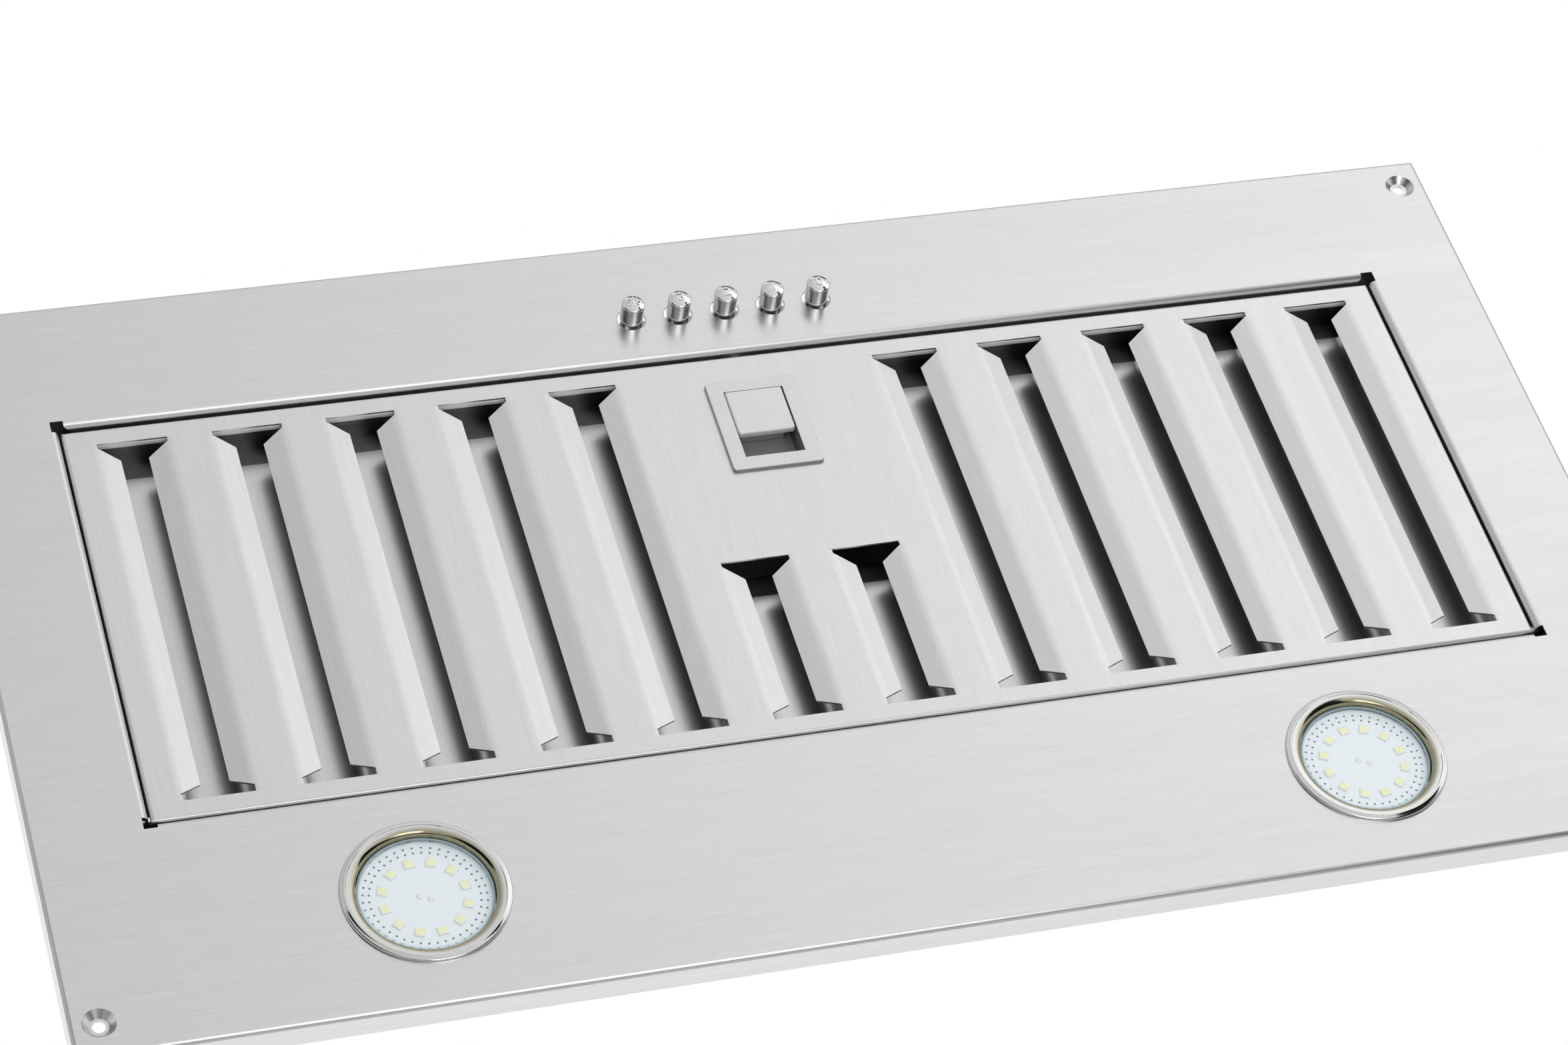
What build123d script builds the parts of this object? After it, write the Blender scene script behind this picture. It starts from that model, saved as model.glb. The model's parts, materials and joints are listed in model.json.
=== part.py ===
"""Built-in range hood insert.

A brushed fascia carries a hinged baffle filter, push buttons and two lamps. Behind it is the housing with
its blower, duct collar and junction box.

Axes: X runs along the long side, -Y points at the cook, +Z points up into the cabinet. The origin is the
centre of the four screw seats, half way through the sheet. Sizes are in millimetres.
"""
from build123d import *
from math import acos, asin, atan2, cos, degrees, pi, radians, sin, tan
import os

os.makedirs("parts", exist_ok=True)

TOUCH = 0.3          # gap kept between pieces that move past each other
RUNNING = 0.06       # radial clearance of a running fit
OVERRUN = 5.0        # how far a cutting tool runs past the sheet it cuts

# ---- filter opening, its rolled edges and their cut corners
SHEET = 1.0
OPENING_HALF_X = 274.8
OPENING_FRONT_Y = -114.5
OPENING_REAR_Y = 80.8
OPENING_Y = OPENING_REAR_Y - OPENING_FRONT_Y
OPENING_MID_Y = (OPENING_REAR_Y + OPENING_FRONT_Y) / 2
LIP_HEIGHT = 12.5
LIP_BEND = 2.6
NOTCH = 2 * LIP_BEND
LIP_END_CUT = 4.0

# ---- fascia, with its borders round the opening
SIDE_BORDER = 44.2
FRONT_BORDER = 63.5
REAR_BORDER = 97.2
PANEL_X = 2 * (OPENING_HALF_X + SIDE_BORDER)
PANEL_Y = OPENING_Y + FRONT_BORDER + REAR_BORDER
RIM_HEIGHT = 11.0
RIM_BEND = 2.0
SCREW_INSET_X = 11.0
SCREW_INSET_Y = 14.0
SCREW_X = PANEL_X / 2 - SCREW_INSET_X
SCREW_Y = PANEL_Y / 2 - SCREW_INSET_Y
SCREW_HOLE_R = 2.5
SEAT_R = 3.6
DIMPLE_R = 6.2
DIMPLE_DEPTH = 2.5
DIMPLE_SPREAD = 0.4  # how far the back of the dimple's cone lies outside its front
FACE_Z = -(DIMPLE_DEPTH + SHEET / 2)
BACK_Z = FACE_Z + SHEET

# ---- filter, with its gaps to the opening's lips
FILTER_SIDE_GAP = 0.9
FILTER_FRONT_GAP = 1.6
FILTER_REAR_GAP = 1.4
FILTER_HALF_X = OPENING_HALF_X - FILTER_SIDE_GAP
FILTER_FRONT_Y = OPENING_FRONT_Y + FILTER_FRONT_GAP
FILTER_REAR_Y = OPENING_REAR_Y - FILTER_REAR_GAP
FILTER_Y = FILTER_REAR_Y - FILTER_FRONT_Y
FILTER_MID_Y = (FILTER_REAR_Y + FILTER_FRONT_Y) / 2
FILTER_Z = FACE_Z + 2.0
FILTER_SHEET = 0.8
FILTER_BEND = 1.5
SLOT_COUNT = 12
SLOT_MARGIN = 3.9     # from the outer lands' outer edges to the filter's sides
SLOT_PITCH = 2 * (FILTER_HALF_X - SLOT_MARGIN) / SLOT_COUNT
SLOT_LAND = 17.6
SLOT_X = SLOT_PITCH - SLOT_LAND
SLOT_REAR_END = 7.9
SLOT_FRONT_END = 8.2
SLOT_REAR_Y = FILTER_REAR_Y - SLOT_REAR_END
SLOT_FRONT_Y = FILTER_FRONT_Y + SLOT_FRONT_END
SHORT_SLOT_FRONT_Y = -7.0
SHORT_SLOTS = (5, 6)
FLAP_GAP = 10.8
FLAP_DEPTH = 2.6
FLAP_BEND = 12.0
FLAP_FRONT_CUT = (2.0, 7.5)
FLAP_REAR_CUT = (3.2, 8.1)
STRIP_DEPTH = 13.5
STRIP_OVERLAP = 2.8
STRIP_X = SLOT_X + 2 * STRIP_OVERLAP
STRIP_Y = 10.0
STRIP_BEND = 7.0
STRIP_SETBACK = 8.0
STRIP_CLEARANCE = 4.5
CROSSBAR_Y = 12.0
FRAME_FIT = 0.2
FRAME_BACK_FLANGE = 24.0
HEM_HEIGHT = 2.2
HEM_BAND = 1.0
HEM_GROOVE = 0.4
HEM_GROOVE_DEPTH = 1.0
LATCH_PASSAGE_X = 12.0
PIVOT_INSET = 3.0
PIVOT_Y = FILTER_REAR_Y - PIVOT_INSET
PIVOT_Z = FACE_Z + 5.0
PIN_R = 1.5
PIN_HEAD = 1.2

# ---- filter latch
BEZEL_HALF_X = 18.7
BEZEL_FRONT_Y = -98.4
BEZEL_REAR_Y = -51.6
BEZEL_PROUD = 1.5
WINDOW_HALF_X = 12.3
WINDOW_FRONT_Y = -92.6
WINDOW_REAR_Y = -57.7
PAN_WALL = 2.1
PAN_DEPTH = 9.0
SCOOP_R = 8.5
PADDLE_REAR_Y = -70.1
PADDLE_Z = 2.5
PAN_ROOF = 1.0
BOLT_R = 2.6
BOLT_Z = FILTER_Z + 6.2
LATCH_BLOCK_X = 18.0
LATCH_TRAVEL = 6.0
LATCH_CLIP_R = 3.8
LATCH_SPRING_SOLID = 4.8  # length left for the spring when the latch is pulled
LATCH_CLIP_SHEET = 1.0

# ---- push buttons, left to right
BUTTON_NAMES = ("light", "3", "2", "1", "0")
BUTTON_PITCH = 19.5
BUTTON_XS = [(i - (len(BUTTON_NAMES) - 1) / 2) * BUTTON_PITCH for i in range(len(BUTTON_NAMES))]
BUTTON_INSET_Y = 22.5
BUTTON_Y = OPENING_FRONT_Y - BUTTON_INSET_Y
BUTTON_R = 4.75
BUTTON_HOLE_R = 5.7
BUTTON_HOLE_BEND = 0.6
BUTTON_PROUD = 12.0
BUTTON_DOME = 1.5
BUTTON_TRAVEL = 3.0
STEM_R = 3.0
CAP_TOP_Z = 6.0
STEP_GAP = 0.5
STEM_TOP_Z = 22.0
SPRING_WALL = 0.7
SWITCH_HALF_X = 52.0
SWITCH_HALF_Y = 8.4
SWITCH_TOP_Z = 36.0
SWITCH_BORE_TOP_Z = 30.0
TERMINAL_X = 4.8
TERMINAL_Y = 0.8
TERMINAL_HEIGHT = 7.0
TERMINAL_GAP = 8.0
BRACKET_SHEET = 1.2
BRACKET_HALF_X = 58.0
BRACKET_FOOT = 10.0

# ---- lamps
LAMP_INSET_X = 135.5
LAMP_INSET_Y = 49.5
LAMP_X = PANEL_X / 2 - LAMP_INSET_X
LAMP_Y = PANEL_Y / 2 - LAMP_INSET_Y
LAMP_SLEEVE_R = 27.3
LAMP_HOLE_R = LAMP_SLEEVE_R + TOUCH
LAMP_RING_R = 31.5
GLASS_R = 25.2
GLASS_Z = 2.0
LED_COUNT = 12
LED_CIRCLE_R = 15.75
LED_START_DEG = 19.6
LED_X = 2.8
LED_Y = 3.5
LED_Z = 0.7
BOARD_Z = 1.2

# ---- housing
HOUSE_SHEET = 0.8
HOUSE_SIDE_GAP = 9.2
HOUSE_FRONT_GAP = 6.5
HOUSE_REAR_GAP = 7.2
HOUSE_HALF_X = OPENING_HALF_X + HOUSE_SIDE_GAP
HOUSE_FRONT_Y = OPENING_FRONT_Y - HOUSE_FRONT_GAP
HOUSE_REAR_Y = OPENING_REAR_Y + HOUSE_REAR_GAP
HOUSE_Y = HOUSE_REAR_Y - HOUSE_FRONT_Y
HOUSE_MID_Y = (HOUSE_REAR_Y + HOUSE_FRONT_Y) / 2
HOUSE_TOP_Z = 137.0
HOUSE_FLANGE = 7.0
HOUSE_TOP_FLANGE = 14.0
HOUSE_CORNER_R = 3.0
STUD_INSET = 14.0
TOP_PLATE_Z = HOUSE_TOP_Z + HOUSE_SHEET
STUD_R = 1.6
STUD_HEIGHT = 6.0
NUT_R = 3.2
NUT_HEIGHT = 2.4
TOP_SCREW_R = 1.6
TOP_SCREW_HEAD_R = 3.4
TOP_SCREW_HEAD_Z = 2.2
TOP_SCREW_SHANK = 7.0
CROSS_LENGTH = 3.4
CROSS_WIDTH = 0.7
BEAD_INSET_X = 94.0
BEAD_X = HOUSE_HALF_X - BEAD_INSET_X
BEAD_YS = (-90.0, 55.0)
BEAD_LENGTH = 130.0
BEAD_WIDTH = 9.0
BEAD_HEIGHT = 1.6

# ---- duct collar and damper
COLLAR_Y = -20.0
COLLAR_R = 74.5
COLLAR_SHEET = 1.0
COLLAR_TOP_Z = 188.0
COLLAR_FLANGE = 13.5
COLLAR_FLANGE_R = COLLAR_R + COLLAR_FLANGE
COLLAR_SCREW_INSET = 6.0
COLLAR_BEAD_Z = 178.0
COLLAR_BEAD_R = 1.6
ROD_R = 2.0
ROD_Z = 158.0
ROD_PROUD = 1.5
BARREL_R = 3.2
BARREL_LENGTH = 24.0
BARREL_X = {"front": 50.0, "rear": 22.0}
FLAP_SHEET = 0.8
FLAP_R = COLLAR_R - COLLAR_SHEET - 1.2
STOP_RING = 3.5
STOP_SHEET = 1.2

# ---- blower
AXLE_Y = 17.0
AXLE_Z = 79.0
SCROLL_HALF_X = 52.0
SCROLL_SHEET = 0.8
SCROLL_R_START = 47.0
SCROLL_R_END = 64.0
TONGUE_DEG = 100.0
SCROLL_STEPS = 7
INLET_R = 35.0
INLET_CURL = 1.0
INLET_HOLE_R = INLET_R + INLET_CURL
INLET_LIP = 3.0
INLET_REACH = 4.0
WHEEL_R = 42.0
WHEEL_HALF_X = 42.0
BLADE_COUNT = 36
BLADE_DEPTH = 7.0
BLADE_SHEET = 0.8
BLADE_TILT = 25.0
WHEEL_EDGE = 0.5
WHEEL_RING_X = 1.2
HUB_R = 9.0
HUB_HALF_X = 8.0
SHAFT_R = 4.0
SHAFT_END_X = 12.0
SHAFT_PROUD = 4.0
MOTOR_R = 36.0
MOTOR_LEFT_X = -128.0
MOTOR_RIGHT_X = -72.0
NOSE_R = 12.0
NOSE_X = 4.0
COOLING_SLOTS = 12
COOLING_WIDTH = 5.0
COOLING_DEPTH = 4.5
COOLING_INSET = 14.0
SPIDER_X = 1.5
SPIDER_ARM = 11.0
SPIDER_INSET = 6.0
BEARING_R = 8.0
BEARING_X = 7.0
STANDOFF_CIRCLE_R = 42.0
STANDOFF_R = 2.6
STANDOFF_DEGS = (90.0, 210.0, 330.0)
CAPACITOR_R = 14.0
CAPACITOR_INSET_X = 114.0
CAPACITOR_X = HOUSE_HALF_X - CAPACITOR_INSET_X
CAPACITOR_Z = 45.0
CAPACITOR_HEIGHT = 56.0
CAPACITOR_GAP = 2.5
CLIP_FOOT_X = 40.0
CLIP_HEIGHT = 12.0
CLIP_SHEET = 1.2
CLIP_RISE = 20.0

# ---- junction box
BOX_INSET_X = 68.0
BOX_X = BOX_INSET_X - HOUSE_HALF_X
BOX_Y = -34.0
BOX_SIZE_X = 92.0
BOX_SIZE_Y = 72.0
BOX_HEIGHT = 30.0
BOX_SHEET = 1.2
BOX_CORNER_R = 2.0
BOX_EAR = 8.0
COVER_SHEET = 1.0
COVER_LIP = 4.0
COVER_WALL = 1.2
GLAND_BORE_R = 4.0
GLAND_THREAD_R = 8.0
GLAND_HEX_R = 12.0
GLAND_HEX_X = 6.0
GLAND_CAP_R = 9.5
GLAND_CAP_X = 10.0
GLAND_INSIDE_X = 8.0
GLAND_NUT_R = 11.5
GLAND_NUT_X = 4.0
GLAND_Z = TOP_PLATE_Z + GLAND_HEX_R + 1.2
TERMINAL_BLOCK = (20.0, 42.0, 15.0)
TERMINAL_BLOCK_X = BOX_X + 8.0
TERMINAL_PITCH = 13.0
TERMINAL_WELL_R = 2.6
TERMINAL_WIRE_R = 2.2


def save(part, name):
    """Label a finished piece and write its file."""
    part.label = name
    export_step(part, f"parts/{name}.step")
    print(f"{name}: {part.volume / 1000:.2f} cm3, {len(part.solids())} solid(s)")


def corners(half_x, half_y, middle_y=0.0):
    """The four corners of a rectangle that is centred on X = 0."""
    return [(sx * half_x, middle_y + sy * half_y) for sx in (-1, 1) for sy in (-1, 1)]


# ================================================================ fascia
with BuildPart() as fascia:
    with Locations((0, 0, FACE_Z)):
        Box(PANEL_X, PANEL_Y, RIM_HEIGHT, align=(Align.CENTER, Align.CENTER, Align.MIN))
    fillet(fascia.faces().sort_by(Axis.Z)[0].edges(), RIM_BEND)
    offset(amount=-SHEET, openings=fascia.faces().sort_by(Axis.Z)[-1])
    # the filter opening with its lips folded up
    with BuildSketch(Plane.XY.offset(FACE_Z)):
        with Locations((0, OPENING_MID_Y)):
            Rectangle(2 * (OPENING_HALF_X + SHEET), OPENING_Y + 2 * SHEET)
    extrude(amount=LIP_HEIGHT)
    with BuildSketch(Plane.XY.offset(FACE_Z)):
        with Locations((0, OPENING_MID_Y)):
            Rectangle(2 * OPENING_HALF_X, OPENING_Y)
    extrude(amount=LIP_HEIGHT, mode=Mode.SUBTRACT)
    opening_edges = (
        fascia.edges()
        .filter_by(lambda e: abs(e.center().Z - FACE_Z) < 0.01)
        .filter_by(lambda e: abs(e.center().X) < OPENING_HALF_X + 0.1)
        .filter_by(lambda e: abs(e.center().Y - OPENING_MID_Y) < OPENING_Y / 2 + 0.1)
    )
    fillet(opening_edges, LIP_BEND)
    back_edges = (
        fascia.edges()
        .filter_by(lambda e: abs(e.center().Z - BACK_Z) < 0.01)
        .filter_by(lambda e: abs(e.center().X) < OPENING_HALF_X + SHEET + 0.1)
        .filter_by(lambda e: abs(e.center().Y - OPENING_MID_Y) < OPENING_Y / 2 + SHEET + 0.1)
    )
    fillet(back_edges, LIP_BEND - SHEET)
    with Locations(*[(x, y, FACE_Z) for x, y in corners(OPENING_HALF_X, OPENING_Y / 2, OPENING_MID_Y)]):
        Box(NOTCH, NOTCH, 3 * LIP_HEIGHT, mode=Mode.SUBTRACT)
    # the ends of the front and rear lips slope back from the corner notches
    with BuildSketch(Plane.XZ.offset(-OPENING_REAR_Y - SHEET - LIP_BEND)):
        with BuildLine():
            notch_x = OPENING_HALF_X - NOTCH / 2
            Polyline(
                (notch_x, FACE_Z + SHEET),
                (notch_x - LIP_END_CUT, FACE_Z + SHEET + LIP_END_CUT),
                (notch_x - LIP_END_CUT, FACE_Z + LIP_HEIGHT + OVERRUN),
                (notch_x + SHEET, FACE_Z + LIP_HEIGHT + OVERRUN),
                (notch_x + SHEET, FACE_Z + SHEET),
                close=True,
            )
        make_face()
        mirror(about=Plane.YZ)
    extrude(amount=OPENING_Y + 2 * (SHEET + LIP_BEND), mode=Mode.SUBTRACT)
    # holes for the hinge pins in the side lips and for the bolt in the front lip
    with BuildSketch(Plane.YZ):
        with Locations((PIVOT_Y, PIVOT_Z)):
            Circle(PIN_R + RUNNING)
    extrude(amount=OPENING_HALF_X + OVERRUN, both=True, mode=Mode.SUBTRACT)
    with BuildSketch(Plane.XZ.offset(-OPENING_FRONT_Y)):
        with Locations((0, BOLT_Z)):
            Circle(BOLT_R + TOUCH)
    extrude(amount=OVERRUN, both=True, mode=Mode.SUBTRACT)
    # lamp holes and button holes, with slightly drawn edges
    with BuildSketch(Plane.XY.offset(FACE_Z)):
        with Locations((-LAMP_X, LAMP_Y), (LAMP_X, LAMP_Y)):
            Circle(LAMP_HOLE_R)
        with Locations(*[(x, BUTTON_Y) for x in BUTTON_XS]):
            Circle(BUTTON_HOLE_R)
    extrude(amount=SHEET, mode=Mode.SUBTRACT)
    button_rims = (
        fascia.edges()
        .filter_by(GeomType.CIRCLE)
        .filter_by(lambda e: abs(e.radius - BUTTON_HOLE_R) < 0.01 and abs(e.center().Z - FACE_Z) < 0.01)
    )
    fillet(button_rims, BUTTON_HOLE_BEND)
    # drawn-in screw holes
    with BuildSketch(Plane.XY.offset(FACE_Z)):
        with Locations(*corners(SCREW_X, SCREW_Y)):
            Circle(DIMPLE_R)
    extrude(amount=SHEET, mode=Mode.SUBTRACT)

with BuildPart() as dimple:
    with BuildSketch(Plane.XZ):
        with BuildLine():
            Polyline(
                (DIMPLE_R, FACE_Z),
                (SEAT_R, -SHEET / 2),
                (SCREW_HOLE_R, -SHEET / 2),
                (SCREW_HOLE_R, SHEET / 2),
                (SEAT_R + DIMPLE_SPREAD, SHEET / 2),
                (DIMPLE_R, BACK_Z),
                close=True,
            )
        make_face()
    revolve(axis=Axis.Z)

with BuildPart() as fascia_panel:
    add(fascia.part)
    with Locations(*[(x, y, 0) for x, y in corners(SCREW_X, SCREW_Y)]):
        add(dimple.part)
save(fascia_panel.part, "fascia_panel")

# ================================================================ housing
STUD_X = [s * k * (HOUSE_HALF_X - STUD_INSET) / 3 for k in (1, 2, 3) for s in (-1, 1)]
STUD_ROW_Y = (HOUSE_FRONT_Y - HOUSE_FLANGE / 2, HOUSE_REAR_Y + HOUSE_FLANGE / 2)
HOUSE_STUDS = [(x, y) for y in STUD_ROW_Y for x in STUD_X]
BRACKET_STUDS = [(s * (BRACKET_HALF_X + BRACKET_FOOT / 2), BUTTON_Y) for s in (-1, 1)]
STUDS = HOUSE_STUDS + BRACKET_STUDS

TOP_SCREWS = [
    (k * (HOUSE_HALF_X - STUD_INSET) / 3, y)
    for y in (HOUSE_FRONT_Y + HOUSE_TOP_FLANGE / 2, HOUSE_REAR_Y - HOUSE_TOP_FLANGE / 2)
    for k in (-3, -1, 1, 3)
]

with BuildPart() as panel_studs:
    with BuildSketch(Plane.XY.offset(BACK_Z)):
        with Locations(*STUDS):
            Circle(STUD_R)
    extrude(amount=STUD_HEIGHT)
save(panel_studs.part, "panel_studs")

with BuildPart() as housing_shell:
    with BuildSketch(Plane.XY.offset(BACK_Z)):
        with Locations((0, HOUSE_MID_Y)):
            Rectangle(2 * HOUSE_HALF_X, HOUSE_Y)
    extrude(amount=HOUSE_TOP_Z - BACK_Z)
    with BuildSketch(Plane.XY.offset(BACK_Z)):
        with Locations((0, HOUSE_MID_Y)):
            Rectangle(2 * (HOUSE_HALF_X + HOUSE_FLANGE), HOUSE_Y + 2 * HOUSE_FLANGE)
    extrude(amount=HOUSE_SHEET)
    with BuildSketch(Plane.XY.offset(BACK_Z)):
        with Locations((0, HOUSE_MID_Y)):
            Rectangle(2 * (HOUSE_HALF_X - HOUSE_SHEET), HOUSE_Y - 2 * HOUSE_SHEET)
    extrude(amount=HOUSE_TOP_Z - HOUSE_SHEET - BACK_Z, mode=Mode.SUBTRACT)
    with BuildSketch(Plane.XY.offset(HOUSE_TOP_Z)):
        with Locations((0, HOUSE_MID_Y)):
            Rectangle(2 * (HOUSE_HALF_X - HOUSE_TOP_FLANGE), HOUSE_Y - 2 * HOUSE_TOP_FLANGE)
        with Locations((0, COLLAR_Y)):
            Circle(COLLAR_FLANGE_R + TOUCH)
    extrude(amount=-OVERRUN, mode=Mode.SUBTRACT)
    with BuildSketch(Plane.XY.offset(BACK_Z)):
        with Locations(*HOUSE_STUDS):
            Circle(STUD_R + TOUCH)
    extrude(amount=HOUSE_SHEET, mode=Mode.SUBTRACT)
    with BuildSketch(Plane.XY.offset(HOUSE_TOP_Z)):
        with Locations(*TOP_SCREWS):
            Circle(TOP_SCREW_R)
    extrude(amount=-HOUSE_SHEET, mode=Mode.SUBTRACT)
save(housing_shell.part, "housing_shell")

NUT_BASE_Z = BACK_Z + HOUSE_SHEET
with BuildPart() as stud_nuts:
    for points, base_z in ((HOUSE_STUDS, NUT_BASE_Z), (BRACKET_STUDS, BACK_Z + BRACKET_SHEET)):
        with BuildSketch(Plane.XY.offset(base_z)):
            with Locations(*points):
                RegularPolygon(NUT_R, 6)
            with Locations(*points):
                Circle(STUD_R, mode=Mode.SUBTRACT)
        extrude(amount=NUT_HEIGHT)
save(stud_nuts.part, "stud_nuts")

COLLAR_SCREW_R = COLLAR_FLANGE_R - COLLAR_SCREW_INSET
COLLAR_SCREWS = [
    (COLLAR_SCREW_R * cos(radians(a)), COLLAR_Y + COLLAR_SCREW_R * sin(radians(a)))
    for a in (45, 135, 225, 315)
]
with BuildPart() as housing_top:
    with BuildSketch(Plane.XY.offset(HOUSE_TOP_Z)):
        with Locations((0, HOUSE_MID_Y)):
            RectangleRounded(2 * HOUSE_HALF_X, HOUSE_Y, HOUSE_CORNER_R)
    extrude(amount=HOUSE_SHEET)
    # stiffening beads, pressed up on each side of the collar
    with BuildSketch(Plane.XY.offset(TOP_PLATE_Z)):
        for sx in (-1, 1):
            for y in BEAD_YS:
                with Locations((sx * BEAD_X, y)):
                    SlotOverall(BEAD_LENGTH, BEAD_WIDTH)
    extrude(amount=BEAD_HEIGHT, taper=30)
    with BuildSketch(Plane.XY.offset(HOUSE_TOP_Z)):
        with Locations((0, COLLAR_Y)):
            Circle(COLLAR_R - COLLAR_SHEET)
        with Locations(*(TOP_SCREWS + COLLAR_SCREWS)):
            Circle(TOP_SCREW_R)
    extrude(amount=HOUSE_SHEET, mode=Mode.SUBTRACT)
save(housing_top.part, "housing_top")


def pan_head_screws(points, seat_z, shank):
    """Cross-slotted pan-head screws that stand on seat_z with their shanks down."""
    with BuildPart() as screws:
        with BuildSketch(Plane.XY.offset(seat_z)):
            with Locations(*points):
                Circle(TOP_SCREW_HEAD_R)
        extrude(amount=TOP_SCREW_HEAD_Z)
        top_edges = screws.edges().filter_by(lambda e: abs(e.center().Z - seat_z - TOP_SCREW_HEAD_Z) < 0.01)
        fillet(top_edges, TOP_SCREW_HEAD_Z / 2)
        with BuildSketch(Plane.XY.offset(seat_z)):
            with Locations(*points):
                Circle(TOP_SCREW_R)
        extrude(amount=-shank)
        with BuildSketch(Plane.XY.offset(seat_z + TOP_SCREW_HEAD_Z)):
            with Locations(*points):
                Rectangle(CROSS_LENGTH, CROSS_WIDTH)
                Rectangle(CROSS_WIDTH, CROSS_LENGTH)
        extrude(amount=-TOP_SCREW_HEAD_Z / 2, mode=Mode.SUBTRACT)
    return screws.part


save(pan_head_screws(TOP_SCREWS, TOP_PLATE_Z, TOP_SCREW_SHANK), "top_screws")

# ================================================================ duct collar and damper
with BuildPart() as duct_collar:
    with BuildSketch(Plane.XY.offset(TOP_PLATE_Z)):
        with Locations((0, COLLAR_Y)):
            Circle(COLLAR_FLANGE_R)
            Circle(COLLAR_R - COLLAR_SHEET, mode=Mode.SUBTRACT)
        with Locations(*COLLAR_SCREWS):
            Circle(TOP_SCREW_R, mode=Mode.SUBTRACT)
    extrude(amount=COLLAR_SHEET)
    with BuildSketch(Plane.XY.offset(TOP_PLATE_Z)):
        with Locations((0, COLLAR_Y)):
            Circle(COLLAR_R)
            Circle(COLLAR_R - COLLAR_SHEET, mode=Mode.SUBTRACT)
    extrude(amount=COLLAR_TOP_Z - TOP_PLATE_Z)
    # a rolled bead that stops the duct, and the inner ring that the closed flaps lie on
    with Locations((0, COLLAR_Y, COLLAR_BEAD_Z)):
        Torus(COLLAR_R - TOUCH, COLLAR_BEAD_R)
        Cylinder(COLLAR_R - COLLAR_SHEET, 4 * COLLAR_BEAD_R, mode=Mode.SUBTRACT)
    with BuildSketch(Plane.XY.offset(ROD_Z - BARREL_R - TOUCH - STOP_SHEET)):
        with Locations((0, COLLAR_Y)):
            Circle(COLLAR_R - COLLAR_SHEET / 2)
            Circle(COLLAR_R - COLLAR_SHEET - STOP_RING, mode=Mode.SUBTRACT)
    extrude(amount=STOP_SHEET)
    with BuildSketch(Plane.YZ):
        with Locations((COLLAR_Y, ROD_Z)):
            Circle(ROD_R)
    extrude(amount=COLLAR_R + OVERRUN, both=True, mode=Mode.SUBTRACT)
save(duct_collar.part, "duct_collar")
save(pan_head_screws(COLLAR_SCREWS, TOP_PLATE_Z + COLLAR_SHEET, TOP_SCREW_SHANK), "collar_screws")

with BuildPart() as damper_rod:
    with BuildSketch(Plane.YZ):
        with Locations((COLLAR_Y, ROD_Z)):
            Circle(ROD_R)
    extrude(amount=COLLAR_R + ROD_PROUD, both=True)
save(damper_rod.part, "damper_rod")

def damper_flap(s, barrel_x):
    """A half disc with two rolled barrels round the rod, in front of it (s = -1) or behind it (s = 1).

    It lies flat on the stop ring when closed, and its barrels lie side by side with the other flap's.
    """
    plate_z = ROD_Z - BARREL_R
    near_y = BARREL_R + FLAP_SHEET
    with BuildPart() as flap:
        with BuildSketch(Plane.XY.offset(plate_z)):
            with Locations((0, COLLAR_Y)):
                Circle(FLAP_R)
            with Locations((0, COLLAR_Y - s * FLAP_R)):
                Rectangle(2 * FLAP_R, 2 * (FLAP_R + near_y), mode=Mode.SUBTRACT)
            with Locations(*[(sx * barrel_x, COLLAR_Y + s * near_y / 2) for sx in (-1, 1)]):
                Rectangle(BARREL_LENGTH, near_y)
        extrude(amount=FLAP_SHEET)
        for sx in (-1, 1):
            with BuildSketch(Plane.YZ.offset(sx * barrel_x - BARREL_LENGTH / 2)):
                with Locations((COLLAR_Y, ROD_Z)):
                    Circle(BARREL_R)
            extrude(amount=BARREL_LENGTH)
        with BuildSketch(Plane.YZ):
            with Locations((COLLAR_Y, ROD_Z)):
                Circle(ROD_R + RUNNING)
        extrude(amount=FLAP_R, both=True, mode=Mode.SUBTRACT)
    return flap.part


for side, s in (("front", -1), ("rear", 1)):
    save(damper_flap(s, BARREL_X[side]), f"damper_flap_{side}")

# ================================================================ blower
def scroll_outline(inset):
    """The closed outline of the scroll in the plane across the axle, drawn inset from its outside.

    It starts at the tongue, behind the outlet, and winds round the axle to the outlet's front wall.
    """
    throat = SCROLL_R_START * cos(radians(TONGUE_DEG)) - inset
    start = acos(throat / (SCROLL_R_START - inset))
    spiral = []
    for k in range(SCROLL_STEPS + 1):
        share = k / SCROLL_STEPS
        angle = start - (start + pi) * share
        r = SCROLL_R_START + (SCROLL_R_END - SCROLL_R_START) * share - inset
        spiral.append((AXLE_Y + r * cos(angle), AXLE_Z + r * sin(angle)))
    Spline(*spiral)
    Polyline(spiral[-1], (spiral[-1][0], HOUSE_TOP_Z), (spiral[0][0], HOUSE_TOP_Z), spiral[0])


with BuildPart() as blower_scroll:
    with BuildSketch(Plane.YZ):
        with BuildLine():
            scroll_outline(0)
        make_face()
    extrude(amount=SCROLL_HALF_X + SCROLL_SHEET, both=True)
    with BuildSketch(Plane.YZ):
        with BuildLine():
            scroll_outline(SCROLL_SHEET)
        make_face()
    extrude(amount=SCROLL_HALF_X, both=True, mode=Mode.SUBTRACT)
    with BuildSketch(Plane.YZ):
        with Locations((AXLE_Y, AXLE_Z)):
            Circle(INLET_HOLE_R)
    extrude(amount=SCROLL_HALF_X + OVERRUN, both=True, mode=Mode.SUBTRACT)
save(blower_scroll.part, "blower_scroll")

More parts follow.
